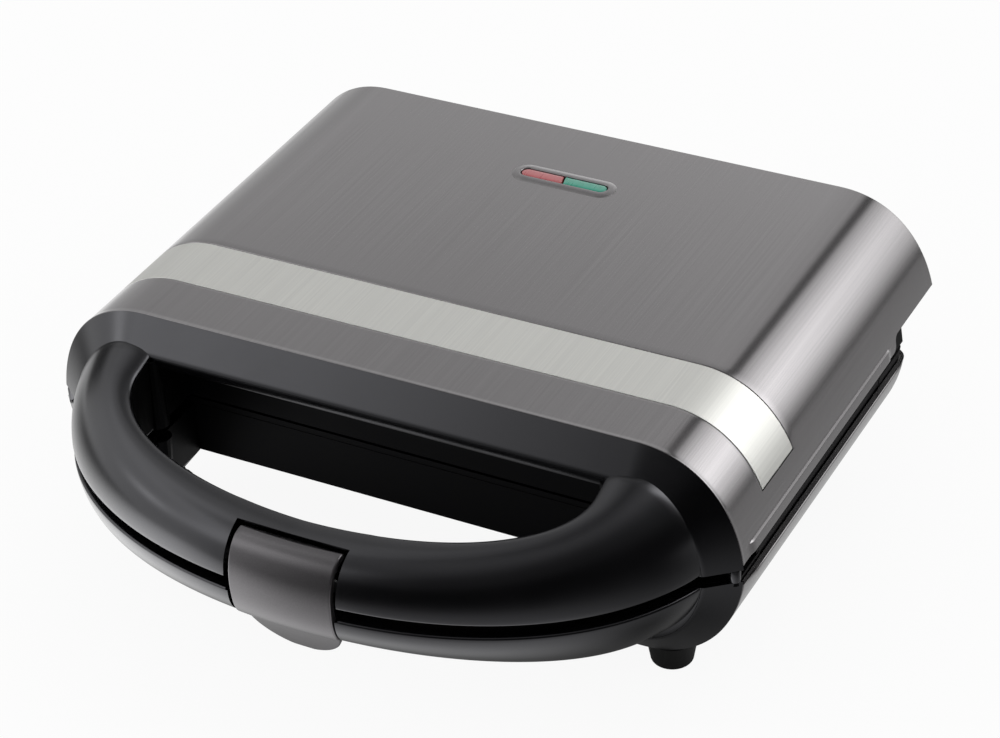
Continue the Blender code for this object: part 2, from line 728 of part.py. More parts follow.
def make_lid_housing(carrier):
    body = front_block(LID, LID_FRONT_FACE)
    fuse(body, handle(LID, LID_FRONT_FACE), *corner_posts(LID, LID_FRONT_FACE))
    ring_rear = BASE_REAR - WALL - CLEARANCE * 2
    fuse(body, ring_frame(LID, ring_rear))
    fuse(body, lid_rear_cap(ring_rear - WALL / 2))
    into_cap = LID_REAR_EDGE - CLEARANCE + WALL / 2
    riser_half = RING_HALF_WIDTH - OVERLAP
    low, rear = RING_FACE + 2 * OVERLAP, ring_rear - 2 * OVERLAP
    fuse(body, box(LID, (-riser_half, rear - WALL, low), (riser_half, rear, into_cap)))
    cut(body, plate_opening(LID))
    y, h = HINGE_AXIS
    for centre in hinge_places():
        left, right = centre - KNUCKLE_WIDTH / 2, centre + KNUCKLE_WIDTH / 2
        fuse(body, across(LID, HINGE_AXIS, EAR_RADIUS, left, right))
        arm = EAR_RADIUS - OVERLAP
        fuse(body, box(LID, (left + OVERLAP, y - arm, h), (right - OVERLAP, y + arm, into_cap + OVERLAP)))
        cut(body, hinge_bore(LID, centre, CLEARANCE))
    bore_end = RECESS_HALF_WIDTH + WALL
    latch_bore = across(LID, LATCH_AXIS, LATCH_PIN_RADIUS + CLEARANCE / 2, -bore_end, bore_end, 16)
    cut(body, latch_recess(LID), latch_bore)
    return name_piece(body, "lid_housing", "black_moulding", carrier)


def foot_places():
    """The centre of each foot and whether it is a front one."""
    spread = BODY_WIDTH / 2 - FOOT_INSET
    rows = ((FRONT + FOOT_FRONT_BACK, True), (BASE_REAR - FOOT_REAR_AHEAD, False))
    return [((x_sign * spread, y), front) for y, front in rows for x_sign in (-1, 1)]


def foot_top():
    """How far below the parting plane the rubber of a front foot starts."""
    return HALF_HEIGHT + GROUND_GAP - FOOT_HEIGHT


def closing_stops():
    """The small pegs at the front corners that the lid's face comes down on."""
    top, low = CLEARANCE - LID_FRONT_FACE, BASE_FRONT_FACE + WALL / 2
    spots = [(x_sign * (BODY_WIDTH / 2 - STOP_INSET), FRONT - STOP_AHEAD) for x_sign in (-1, 1)]
    return [upright(BASE, spot, [(top, STOP_RADIUS), (low, STOP_RADIUS)], 16) for spot in spots]


def make_base_housing():
    body = front_block(BASE, BASE_FRONT_FACE)
    fuse(body, handle(BASE, BASE_FRONT_FACE), *corner_posts(BASE, BASE_FRONT_FACE))
    fuse(body, ring_frame(BASE, BASE_REAR - BASE_CORNER_RADIUS))
    fuse(body, base_rear_cap(BASE_REAR - FOOT_REAR_AHEAD - FOOT_PAD_RADIUS))
    cut(body, plate_opening(BASE))
    for centre in hinge_places():
        axis = (HINGE_AXIS[0], -HINGE_AXIS[1])
        for x_sign in (-1, 1):
            near = centre + x_sign * (KNUCKLE_WIDTH / 2 + CLEARANCE)
            far = near + x_sign * EAR_WIDTH
            x0, x1 = min(near, far), max(near, far)
            fuse(body, across(BASE, axis, EAR_RADIUS, x0, x1))
            arm = EAR_RADIUS - OVERLAP
            low_corner = (x0 + OVERLAP, REAR_WALL - WALL / 2, RING_FACE + OVERLAP)
            fuse(body, box(BASE, low_corner, (x1 - OVERLAP, axis[0], axis[1] + arm)))
        cut(body, hinge_bore(BASE, centre, CLEARANCE / 2))
    hole_radius = SCREW_RADIUS + CLEARANCE
    for spot, front in foot_places():
        bottom = foot_top() - CLEARANCE if front else HALF_HEIGHT
        boss = upright(BASE, spot, [(HALF_HEIGHT - BOSS_HEIGHT, BOSS_RADIUS), (HALF_HEIGHT, BOSS_RADIUS)])
        if front:
            pad_top = HALF_HEIGHT - INSIDE - CLEARANCE
            fuse(boss, upright(BASE, spot, [(pad_top, FOOT_PAD_RADIUS), (bottom, FOOT_PAD_RADIUS)]))
        else:
            within = INSIDE + OVERLAP
            combine(boss, arch_block(BASE, 0, (FRONT, within), (REAR_WALL, within)), "INTERSECT")
        fuse(body, boss)
        hole = [(bottom - SCREW_LENGTH, hole_radius), (bottom + OVERRUN, hole_radius)]
        cut(body, upright(BASE, spot, hole))
    fuse(body, *closing_stops())
    cut(body, latch_recess(BASE, CLEARANCE))
    gland = (0, HALF_HEIGHT - GLAND_HEIGHT)
    cut(body, along(BASE, gland, GLAND_RADIUS + CLEARANCE, REAR_WALL - 2 * WALL, BASE_REAR + OVERRUN))
    return name_piece(body, "base_housing", "black_moulding")


# Cooking plates and heating parts
def pocket_corners(x_sign):
    """The two triangles of one square pocket, parted by the diagonal ridge."""
    x0, x1 = sorted((x_sign * POCKET_BORDER, x_sign * (PLATE_HALF_WIDTH - POCKET_EDGE)))
    y0, y1 = PLATE_START + POCKET_END_EDGE, PLATE_END - POCKET_END_EDGE
    gap = RIDGE_WIDTH / 2 * math.sqrt(2)
    if x_sign > 0:
        return (
            [(x0, y0), (x1 - gap, y0), (x0, y1 - gap)],
            [(x1, y1), (x0 + gap, y1), (x1, y0 + gap)],
        )
    return (
        [(x1, y0), (x1, y1 - gap), (x0 + gap, y0)],
        [(x0, y1), (x0, y0 + gap), (x1 - gap, y1)],
    )


def shrink(corners, amount):
    """The triangle with every side moved inwards by the amount."""
    corners = np.array(corners, dtype=float)
    sides = [np.linalg.norm(corners[(i + 1) % 3] - corners[(i + 2) % 3]) for i in range(3)]
    centre = sum(s * c for s, c in zip(sides, corners)) / sum(sides)
    (ax, ay), (bx, by) = corners[1] - corners[0], corners[2] - corners[0]
    inradius = abs(ax * by - ay * bx) / sum(sides)
    return centre + (corners - centre) * (1 - amount / inradius)


def pocket_solid(side, corners, start, depth, grow):
    """A pocket's tapered body: its outline at the face and its smaller outline at the depth."""
    rings = []
    for h, inwards in ((start, -grow), (depth, POCKET_DRAFT - grow)):
        outline = rounded(shrink(corners, inwards), POCKET_CORNER + grow)
        rings.append(place(np.insert(outline, 2, h, axis=1), side))
    return loft(rings)


def stud_places():
    return [(0, PLATE_START + STUD_INSET), (0, PLATE_END - STUD_INSET)]


def make_plate(side, name, carrier=None):
    """A cast plate with four triangular pockets and two studs behind for its screws."""
    body = box(
        side,
        (-PLATE_HALF_WIDTH, PLATE_START, PLATE_FACE),
        (PLATE_HALF_WIDTH, PLATE_END, PLATE_FACE + FLANGE),
    )
    triangles = [corners for x_sign in (-1, 1) for corners in pocket_corners(x_sign)]
    for corners in triangles:
        fuse(body, pocket_solid(side, corners, PLATE_FACE + FLANGE / 2, POCKET_BACK, WALL))
    for corners in triangles:
        cut(body, pocket_solid(side, corners, PLATE_FACE - OVERRUN / 4, PLATE_FACE + POCKET_DEPTH, 0))
    stud_top = TRAY_INSIDE - CLEARANCE
    hole_radius = SCREW_RADIUS + CLEARANCE
    for centre in stud_places():
        stud = [(PLATE_FACE + FLANGE / 2, STUD_RADIUS), (stud_top, STUD_RADIUS)]
        hole = [(stud_top - SCREW_LENGTH, hole_radius), (stud_top + OVERRUN, hole_radius)]
        fuse(body, upright(side, centre, stud, 16))
        cut(body, upright(side, centre, hole, 16))
    return name_piece(body, name, "non_stick", carrier)


def make_element(side, name, carrier=None):
    """A tubular heater bent into a U over the pockets, with both ends towards the rear."""
    radius = ELEMENT_BEND
    spread = PLATE_HALF_WIDTH - ELEMENT_INSET
    front = PLATE_START + POCKET_EDGE * 2
    rear = PLATE_END + CLEARANCE
    quarter = np.linspace(0, math.pi / 2, 7)
    corner = np.column_stack([
        spread - radius + radius * np.cos(quarter), front + radius - radius * np.sin(quarter)
    ])
    right = np.vstack([[(spread, rear)], corner])
    path = np.vstack([right, right[::-1] * (-1, 1)])
    curve = bpy.data.curves.new("element_path", "CURVE")
    curve.dimensions = "3D"
    curve.bevel_depth = ELEMENT_RADIUS
    curve.bevel_resolution = 2
    curve.use_fill_caps = True
    spline = curve.splines.new("POLY")
    spline.points.add(len(path) - 1)
    for point, spot in zip(spline.points, place(np.insert(path, 2, ELEMENT_LEVEL, axis=1), side)):
        point.co = (*spot, 1)
    tube = bpy.data.objects.new("tube", curve)
    bpy.context.scene.collection.objects.link(tube)
    bpy.context.view_layer.update()
    graph = bpy.context.evaluated_depsgraph_get()
    mesh = bpy.data.meshes.new_from_object(tube.evaluated_get(graph))
    bpy.data.objects.remove(tube)
    body = bpy.data.objects.new("element", mesh)
    bpy.context.scene.collection.objects.link(body)
    return name_piece(body, name, "plated_steel", carrier)


def make_reflector(side, name, carrier=None):
    """A folded aluminium tray over the element, open at the rear, with wings on the ring."""
    wing_low = RING_FACE + RING_DEPTH + CLEARANCE
    front = PLATE_START + TRAY_FRONT
    rear = PLATE_END - TRAY_REAR
    body = box(side, (-TRAY_HALF_WIDTH, front, wing_low), (TRAY_HALF_WIDTH, rear, TRAY_BACK))
    wings = box(
        side,
        (-TRAY_HALF_WIDTH - TRAY_WING, front, wing_low),
        (TRAY_HALF_WIDTH + TRAY_WING, rear, wing_low + TRAY_SHEET),
    )
    inside = box(
        side,
        (-TRAY_HALF_WIDTH + TRAY_SHEET, front + TRAY_SHEET, -OVERRUN),
        (TRAY_HALF_WIDTH - TRAY_SHEET, rear + OVERRUN, TRAY_INSIDE),
    )
    fuse(body, wings)
    cut(body, inside)
    for centre in stud_places():
        hole = [(h, SCREW_RADIUS + CLEARANCE) for h in (TRAY_INSIDE - OVERRUN, TRAY_BACK + OVERRUN)]
        cut(body, upright(side, centre, hole, 16))
    return name_piece(body, name, "aluminium", carrier)


def screw(side, centre, head_under, points_to, name, carrier=None):
    """A pan-head screw with a slot. The head's underside is at head_under and the shank runs
    towards the parting plane (points_to -1) or away from it (points_to 1)."""
    head_top = head_under - points_to * SCREW_HEAD
    stations = [
        (head_top, SCREW_HEAD_RADIUS * math.cos(math.radians(30))),
        (head_top + points_to * SCREW_HEAD / 2, SCREW_HEAD_RADIUS),
        (head_under, SCREW_HEAD_RADIUS),
        (head_under, SCREW_RADIUS),
        (head_under + points_to * (SCREW_LENGTH - SCREW_HEAD), SCREW_RADIUS),
    ]
    body = upright(side, centre, stations, 16)
    levels = sorted((head_top - points_to * OVERRUN, head_top + points_to * SCREW_SLOT))
    slot = box(
        side,
        (centre[0] - SCREW_HEAD_RADIUS - OVERRUN, centre[1] - SCREW_SLOT / 2, levels[0]),
        (centre[0] + SCREW_HEAD_RADIUS + OVERRUN, centre[1] + SCREW_SLOT / 2, levels[1]),
    )
    cut(body, slot)
    return name_piece(body, name, "plated_steel", carrier)


# Feet
def make_foot(spot, front, name):
    """A rubber foot with a rounded lower edge and a counterbored screw hole."""
    top = foot_top() if front else HALF_HEIGHT + CLEARANCE
    bottom = HALF_HEIGHT + GROUND_GAP
    turns = np.radians([90, 60, 30, 0])
    stations = [(top, FOOT_TOP_RADIUS)]
    for turn in turns:
        lean = FOOT_BOTTOM_RADIUS - FOOT_ROUND * (1 - math.sin(turn))
        stations.append((bottom - FOOT_ROUND * (1 - math.cos(turn)), lean))
    body = upright(BASE, spot, stations)
    seat = foot_screw_seat()
    bore = [(top - OVERRUN, SCREW_RADIUS + CLEARANCE), (bottom + OVERRUN, SCREW_RADIUS + CLEARANCE)]
    counterbore = [(seat, SCREW_HEAD_RADIUS + CLEARANCE), (bottom + OVERRUN, SCREW_HEAD_RADIUS + CLEARANCE)]
    cut(body, upright(BASE, spot, bore, 16), upright(BASE, spot, counterbore, 16))
    return name_piece(body, name, "rubber")


def foot_screw_seat():
    return foot_top() + WALL


# Electrical parts in the base
def make_thermostat():
    """A round snap-disc thermostat on the lower heat shield, with two tabs."""
    centre = (THERMOSTAT_RADIUS * 3, PLATE_MIDDLE)
    low = TRAY_BACK + CLEARANCE
    body = upright(BASE, centre, [(low, THERMOSTAT_RADIUS), (low + THERMOSTAT_HEIGHT, THERMOSTAT_RADIUS)])
    for x_sign in (-1, 1):
        x = centre[0] + x_sign * THERMOSTAT_RADIUS / 2
        tab = box(
            BASE,
            (x - TRAY_SHEET / 2, centre[1] - WALL, low + THERMOSTAT_HEIGHT - WALL),
            (x + TRAY_SHEET / 2, centre[1] + WALL, low + THERMOSTAT_HEIGHT + THERMOSTAT_TAB),
        )
        fuse(body, tab)
    return name_piece(body, "thermostat", "ceramic")


def make_thermal_fuse():
    """A one-shot thermal fuse in its sleeve, lying on the lower heat shield."""
    level = TRAY_BACK + CLEARANCE + FUSE_RADIUS
    left = -THERMOSTAT_RADIUS * 3 - FUSE_LENGTH / 2
    body = across(BASE, (PLATE_MIDDLE, level), FUSE_RADIUS, left, left + FUSE_LENGTH, 16)
    return name_piece(body, "thermal_fuse", "plated_steel")


def make_terminal_block():
    """The ceramic block that joins the mains lead to the inner wiring, on the bottom."""
    wide, deep, high = TERMINAL_SIZE
    floor = HALF_HEIGHT - INSIDE - WALL - CLEARANCE
    rear = REAR_WALL - WALL - CLEARANCE
    centre_x = -GLAND_FLANGE - wide / 2
    body = box(BASE, (centre_x - wide / 2, rear - deep, floor - high), (centre_x + wide / 2, rear, floor))
    count = 3
    for i in range(count):
        x = centre_x + (i - (count - 1) / 2) * wide / count
        cut(body, along(BASE, (x, floor - high / 2), high / 5, rear - deep - OVERRUN, rear + OVERRUN, 12))
    return name_piece(body, "terminal_block", "ceramic")


def make_inlet_gland():
    """The moulded grommet in the rear wall that the mains lead would come out of."""
    centre = (0, HALF_HEIGHT - GLAND_HEIGHT)
    outer_face, inner_face = REAR_WALL + CLEARANCE, REAR_WALL - WALL - CLEARANCE
    body = along(BASE, centre, GLAND_RADIUS, inner_face - WALL / 2, outer_face + WALL / 2)
    outside = along(BASE, centre, GLAND_FLANGE, outer_face, outer_face + WALL)
    inside = along(BASE, centre, GLAND_FLANGE, inner_face - WALL, inner_face)
    fuse(body, outside, inside)
    cut(body, along(BASE, centre, GLAND_BORE, inner_face - WALL - OVERRUN, outer_face + WALL + OVERRUN))
    return name_piece(body, "inlet_gland", "rubber")


# Lamp window
def make_bezel(carrier):
    """The raised oval surround of the two lenses, with a sleeve down through the shell."""
    centre = (0, BEZEL_MIDDLE)
    seat = HALF_HEIGHT + CLEARANCE
    crown = [
        (seat, BEZEL_LENGTH, BEZEL_WIDTH),
        (seat + BEZEL_HEIGHT / 2, BEZEL_LENGTH - BEZEL_HEIGHT, BEZEL_WIDTH - BEZEL_HEIGHT),
        (seat + BEZEL_HEIGHT - CLEARANCE, BEZEL_LENGTH - 3 * BEZEL_HEIGHT, BEZEL_WIDTH - 3 * BEZEL_HEIGHT),
    ]
    body = oval_solid(LID, centre, crown)
    sleeve = [
        (h, LENS_LENGTH + 2 * WALL, LENS_WIDTH + 2 * WALL)
        for h in (HALF_HEIGHT - SHEET - WALL, seat + BEZEL_HEIGHT / 4)
    ]
    fuse(body, oval_solid(LID, centre, sleeve))
    window = [
        (h, LENS_LENGTH + 2 * CLEARANCE, LENS_WIDTH + 2 * CLEARANCE)
        for h in (HALF_HEIGHT - SHEET - WALL - OVERRUN, seat + OVERRUN)
    ]
    cut(body, oval_solid(LID, centre, window))
    return name_piece(body, "lamp_bezel", "gunmetal", carrier)


def make_lens(x_sign, name, carrier):
    """Half of the oval window: red on the left, green on the right."""
    centre = (0, BEZEL_MIDDLE)
    levels = (HALF_HEIGHT - SHEET - WALL, HALF_HEIGHT + BEZEL_HEIGHT / 2)
    body = oval_solid(LID, centre, [(h, LENS_LENGTH, LENS_WIDTH) for h in levels])
    near, far = sorted((-x_sign * BEZEL_LENGTH, x_sign * CLEARANCE / 2))
    other_half = box(
        LID,
        (near, centre[1] - BEZEL_WIDTH, HALF_HEIGHT - 2 * OVERRUN),
        (far, centre[1] + BEZEL_WIDTH, HALF_HEIGHT + OVERRUN),
    )
    cut(body, other_half)
    return name_piece(body, name, name, carrier)


def lamp_level():
    return HALF_HEIGHT - SHEET - WALL - CLEARANCE - LAMP_RADIUS


def lamp_span(x_sign):
    """Where a lamp starts and ends along X, from the middle outwards."""
    return x_sign * 2 * CLEARANCE, x_sign * (2 * CLEARANCE + LAMP_LENGTH)


def make_lamp(x_sign, name, carrier):
    """A small neon lamp lying under its lens."""
    x0, x1 = sorted(lamp_span(x_sign))
    body = across(LID, (BEZEL_MIDDLE, lamp_level()), LAMP_RADIUS, x0, x1, 16)
    return name_piece(body, name, "lamp_glass", carrier)


def make_lamp_holder(carrier):
    """A channel under the window that the two lamps lie in."""
    middle = BEZEL_MIDDLE
    half_length = LENS_LENGTH / 2 + WALL
    half_width = LAMP_RADIUS + CLEARANCE + WALL / 2
    top = HALF_HEIGHT - SHEET - WALL - CLEARANCE
    floor = lamp_level() - LAMP_RADIUS - CLEARANCE
    corner = (half_length, middle + half_width, top)
    body = box(LID, (-half_length, middle - half_width, floor - WALL / 2), corner)
    trough = box(
        LID,
        (-half_length + WALL, middle - LAMP_RADIUS - CLEARANCE, floor),
        (half_length - WALL, middle + LAMP_RADIUS + CLEARANCE, top + OVERRUN),
    )
    cut(body, trough)
    return name_piece(body, "lamp_holder", "ceramic", carrier)


# Latch
def clip_path():
    """Points (y, h) down the outer face of the clip: a rounded top lip, the bow round the handle
    and, after the crease, the leaning tongue. The bow is half of an ellipse from lip to crease."""
    front = HANDLE_FRONT - CLIP_PROUD
    top, crease = CLIP_TOP, -CLIP_BELOW
    lip_back, crease_back = CLIP_LIP, CLIP_TUCK
    middle = (top + crease) / 2
    half = (top - crease) / 2
    turns = np.linspace(math.pi / 2, 0, 8)
    back_share = 1 - np.cos(turns) ** CLIP_POWER
    upper = np.column_stack([front + lip_back * back_share, middle + half * np.sin(turns)])
    lower = np.column_stack([front + crease_back * back_share, middle - half * np.sin(turns)])
    return np.vstack([upper, lower[-2::-1]])


def make_latch_clip(carrier):
    """The clip as a bent sheet: width and path are worked out station by station."""
    path = clip_path()
    lean = math.radians(TONGUE_LEAN)
    tongue_steps = np.radians([15, 30, 45, 60, 72, 82])
    tip = path[-1]
    downwards = np.array([math.sin(lean), -math.cos(lean)])
    tongue = [tip + TONGUE_LENGTH * math.sin(t) * downwards for t in tongue_steps]
    widths = [CLIP_HALF_WIDTH] * len(path) + [TONGUE_HALF_WIDTH * math.cos(t) for t in tongue_steps]
    path = np.vstack([path, tongue])
    ahead = np.gradient(path, axis=0)
    ahead /= np.linalg.norm(ahead, axis=1)[:, None]
    inward = np.column_stack([-ahead[:, 1], ahead[:, 0]])
    rings = []
    shares = np.linspace(-1, 1, 9)
    for (y, h), (dy, dh), half in zip(path, inward, widths):
        x = half * shares
        bow = CLIP_BOW * (x / CLIP_HALF_WIDTH) ** 2
        outer = np.column_stack([x, y + bow, np.full(len(x), h)])
        inner = outer + (0, dy * CLIP_SHEET, dh * CLIP_SHEET)
        rings.append(place(np.vstack([outer, inner[::-1]]), LID))
    body = loft(rings)
    axis_y, axis_h = LATCH_AXIS
    web_front = axis_y - LATCH_LUG_RADIUS - WALL
    web_low, web_high = axis_h - LATCH_LUG_RADIUS, axis_h + LATCH_LUG_RADIUS / 2
    for x_sign in (-1, 1):
        left = x_sign * LATCH_LUG_CENTRE - LATCH_LUG_WIDTH / 2
        right = left + LATCH_LUG_WIDTH
        lug = across(LID, LATCH_AXIS, LATCH_LUG_RADIUS, left, right, 20)
        web = box(LID, (left + OVERLAP, web_front, web_low + OVERLAP), (right - OVERLAP, axis_y, web_high))
        fuse(body, lug, web)
    bore = across(LID, LATCH_AXIS, LATCH_PIN_RADIUS + CLEARANCE, -CLIP_HALF_WIDTH, CLIP_HALF_WIDTH, 16)
    cut(body, bore)
    return name_piece(body, "latch_clip", "clip_metal", carrier)


def make_latch_pin(carrier):
    reach = RECESS_HALF_WIDTH + WALL - CLEARANCE
    body = across(LID, LATCH_AXIS, LATCH_PIN_RADIUS, -reach, reach, 16)
    return name_piece(body, "latch_pin", "plated_steel", carrier)


def make_hinge_pin(centre, name):
    half = KNUCKLE_WIDTH / 2 + EAR_WIDTH
    body = across(LID, HINGE_AXIS, PIN_RADIUS, centre - half, centre + half)
    return name_piece(body, name, "plated_steel")


def make_base():
    make_base_shell()
    make_base_housing()
    make_plate(BASE, "base_plate")
    make_element(BASE, "base_element")
    make_reflector(BASE, "base_reflector")
    make_thermostat()
    make_thermal_fuse()
    make_terminal_block()
    make_inlet_gland()
    names = ("front_left", "front_right", "rear_left", "rear_right")
    for (spot, front), name in zip(foot_places(), names):
        make_foot(spot, front, f"foot_{name}")
        screw(BASE, spot, foot_screw_seat() + CLEARANCE, -1, f"foot_screw_{name}")
    for centre, name in zip(hinge_places(), ("left", "right")):
        make_hinge_pin(centre, f"hinge_pin_{name}")
    for centre, name in zip(stud_places(), ("front", "rear")):
        screw(BASE, centre, TRAY_BACK + CLEARANCE, -1, f"base_plate_screw_{name}")


def make_lid(lid_joint, latch_joint):
    make_lid_shell(lid_joint)
    make_lid_band(lid_joint)
    make_lid_housing(lid_joint)
    make_plate(LID, "lid_plate", lid_joint)
    make_element(LID, "lid_element", lid_joint)
    make_reflector(LID, "lid_reflector", lid_joint)
    make_bezel(lid_joint)
    make_lamp_holder(lid_joint)
    for x_sign, colour in ((-1, "red"), (1, "green")):
        make_lens(x_sign, f"{colour}_lens", lid_joint)
        make_lamp(x_sign, f"{colour}_lamp", lid_joint)
    for centre, name in zip(stud_places(), ("front", "rear")):
        screw(LID, centre, TRAY_BACK + CLEARANCE, -1, f"lid_plate_screw_{name}", lid_joint)
    make_latch_pin(lid_joint)
    make_latch_clip(latch_joint)


def main():
    clear_scene()
    lid_joint = joint("lid_joint", HINGE_AXIS)
    latch_joint = joint("latch_joint", LATCH_AXIS, lid_joint)
    make_base()
    make_lid(lid_joint, latch_joint)


main()
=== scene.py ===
# %% [markdown]
# # A sandwich maker in coated steel and black plastic
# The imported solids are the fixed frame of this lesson: a base, a lid that turns on two hinges at
# the rear, and a latch clip that turns on the lid's handle. This script gives every visible piece
# its finish, and lays finer surfaces over the ones whose solids are coarse: the bent metal shells,
# the bright band, the sloped front rings, the two handle halves, the clip, the lamp window and the
# feet. The frame is loaded first, because everything else is placed in it without any fitting.

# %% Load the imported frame
import math

import bpy
import numpy as np
from mathutils import Matrix, Vector


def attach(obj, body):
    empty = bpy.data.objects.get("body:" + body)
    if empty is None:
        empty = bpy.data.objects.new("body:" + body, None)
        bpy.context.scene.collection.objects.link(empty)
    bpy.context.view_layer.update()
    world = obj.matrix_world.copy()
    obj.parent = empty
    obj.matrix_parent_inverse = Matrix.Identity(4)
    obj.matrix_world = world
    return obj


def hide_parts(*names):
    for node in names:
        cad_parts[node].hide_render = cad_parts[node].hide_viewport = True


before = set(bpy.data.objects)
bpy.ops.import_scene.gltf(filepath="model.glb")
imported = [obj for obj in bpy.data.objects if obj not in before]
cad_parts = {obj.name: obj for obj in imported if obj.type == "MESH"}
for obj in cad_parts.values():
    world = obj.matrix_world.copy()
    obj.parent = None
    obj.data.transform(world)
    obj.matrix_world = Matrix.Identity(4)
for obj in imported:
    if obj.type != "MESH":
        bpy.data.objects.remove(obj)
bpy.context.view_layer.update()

# %% [markdown]
# ## Sizes
# All the sizes below are in millimetres and are the ones that the solids were made from, so that a
# surface made here lies on its solid. Heights called h are counted from the parting plane between
# lid and base: upwards in the lid and downwards in the base. That way one formula serves both.

# %% Sizes of the body
MM = 0.001
PARTING, HALF = 47.25, 36.75
FRONT, LID_REAR, BASE_REAR = -43.35, 109.55, 88.65
SHEET = 1.2
LID, BASE = 1, -1
FLAT_HALF, SHOULDER_WIDTH, SHOULDER_DROP, SHOULDER_POWER = 82.1, 33.9, 41.9, 0.917
LID_EDGE, LID_REAR_EDGE, EDGE_STEP_BACK, BASE_EDGE = 3.2, 8.0, 119.7, 4.4
RIM_PROUD, RIM_HEIGHT, RIM_START, RIM_STOP = 0.7, 4.0, 4.0, 4.8
BAND_START, BAND_WIDTH, BAND_SHEET, BAND_END = FRONT + 19.8, 22.4, 0.6, 15.2

# %% [markdown]
# ## From numbers to a mesh
# A surface is a grid: each point is a function of two parameters, and the whole grid is worked out
# at once as a numpy array. What is left is to say which four neighbours make a face. A bent sheet
# is such a grid twice, once for its outside and once for its inside, joined round the edges, so it
# is closed like a real piece of metal.

# %% Helpers that turn grids into closed pieces
def quads(rows, columns, round_rows=False, round_columns=False):
    """Faces over a grid of points: each one takes a point, the next along its row and the same two
    of the next row. The grid may close on itself either way."""
    i = np.arange(rows if round_rows else rows - 1)[:, None]
    j = np.arange(columns if round_columns else columns - 1)[None, :]
    corners = [(i, j), (i, j + 1), (i + 1, j + 1), (i + 1, j)]
    faces = [(row % rows) * columns + column % columns for row, column in corners]
    return np.stack(faces, axis=-1).reshape(-1, 4)


def tube_faces(rows, columns):
    """Faces of a tube of closed rings, one ring a row, with a lid on the first and the last."""
    caps = [list(range(columns))[::-1], list(range((rows - 1) * columns, rows * columns))]
    return quads(rows, columns, round_columns=True).tolist() + caps


def sheet_faces(rows, columns):
    """Faces of a sheet: its outer rows and then its inner rows backwards go round as one loop, and
    a strip closes each side."""
    i = np.arange(rows - 1)
    strip = np.stack([i, i + 1, 2 * rows - 2 - i, 2 * rows - 1 - i], axis=-1) * columns
    faces = [quads(2 * rows, columns, round_rows=True), strip, strip[:, ::-1] + columns - 1]
    return np.vstack(faces).tolist()


def place(x, y, h, side):
    """Grid of places in millimetres from grids of x, y and the height h over the parting plane."""
    x, y, h = np.broadcast_arrays(x, y, h)
    return np.stack([x, y, PARTING + side * h], axis=-1)


def make_piece(name, points, faces, sharp=32):
    """One mesh object in metres, with its faces turned outwards and edges over the angle sharp.
    The volume under all its triangles is negative where they point inwards."""
    mesh = bpy.data.meshes.new(name)
    mesh.from_pydata((points.reshape(-1, 3) * MM).tolist(), [], faces)
    mesh.calc_loop_triangles()
    corners = np.empty(len(mesh.loop_triangles) * 3, np.int32)
    mesh.loop_triangles.foreach_get("vertices", corners)
    triangles = (points.reshape(-1, 3) * MM)[corners].reshape(-1, 3, 3)
    if np.linalg.det(triangles).sum() < 0:
        mesh.flip_normals()
    mesh.shade_smooth()
    mesh.set_sharp_from_angle(angle=math.radians(sharp))
    piece = bpy.data.objects.new(name, mesh)
    bpy.context.scene.collection.objects.link(piece)
    return piece


def carve(piece, *cutters, sharp=32):
    """Takes the cutters out of the piece with one Boolean each, and removes them."""
    for cutter in cutters:
        modifier = piece.modifiers.new("carve", "BOOLEAN")
        modifier.operation, modifier.object = "DIFFERENCE", cutter
        bpy.context.view_layer.update()
        graph = bpy.context.evaluated_depsgraph_get()
        mesh = bpy.data.meshes.new_from_object(piece.evaluated_get(graph))
        piece.modifiers.clear()
        piece.data = mesh
        bpy.data.objects.remove(cutter)
    piece.data.name = piece.name
    piece.data.shade_smooth()
    piece.data.set_sharp_from_angle(angle=math.radians(sharp))


def block(low, high, side):
    """A plain block between two corners (x, y, h), used only as a cutter."""
    (x0, y0, h0), (x1, y1, h1) = low, high
    x, y = np.array([x0, x1, x1, x0]), np.array([y0, y0, y1, y1])
    rings = place(x, y, np.array([[h0], [h1]]), side)
    return make_piece("cutter", rings, tube_faces(2, 4))


def spin(x, y, loop, side, around):
    """Rows follow a loop of (radius, h), columns go round the upright axis at x and y."""
    turn = np.linspace(0, 2 * math.pi, around, endpoint=False)
    along_x, along_y = loop[:, :1] * np.cos(turn), loop[:, :1] * np.sin(turn)
    return place(x + along_x, y + along_y, loop[:, 1:], side)


def edge_round(distance, radius):
    """How far a rounded edge falls back at a distance from the edge: a quarter of a circle."""
    short = np.clip(radius - distance, 0, radius)
    return radius - np.sqrt(radius**2 - short**2)


# %% [markdown]
# ## The arch of the two metal shells
# Seen from the front, lid and base are the same arch: a flat top that runs into shoulders which
# bend down and round to the parting plane. The bend is tighter in the middle than a circle's and
# goes on longer, which is a superellipse. Drawing the arch in by an offset gives every other face
# that follows it: the inside of the sheet, the groove for the band and the sloped front ring.

# %% The arch as a function of an angle and an offset
def arch_turn(h, offset=0.0):
    """The angle at which the arch has come down to height h: the inverse of arch_height."""
    share = (HALF - offset - h) / (SHOULDER_DROP - offset)
    return np.arccos(np.clip(1 - share, 0, 1) ** (1 / SHOULDER_POWER))


def arch_reach(turn, offset=0.0):
    """x of the right shoulder: the flat half plus the shoulder's width times sin to a power."""
    return FLAT_HALF + (SHOULDER_WIDTH - offset) * np.sin(turn) ** SHOULDER_POWER


def arch_height(turn, offset=0.0):
    """h of the shoulder: the top less the drop times one minus cos to the same power."""
    fall = 1 - np.clip(np.cos(turn), 0, 1) ** SHOULDER_POWER
    return HALF - offset - (SHOULDER_DROP - offset) * fall


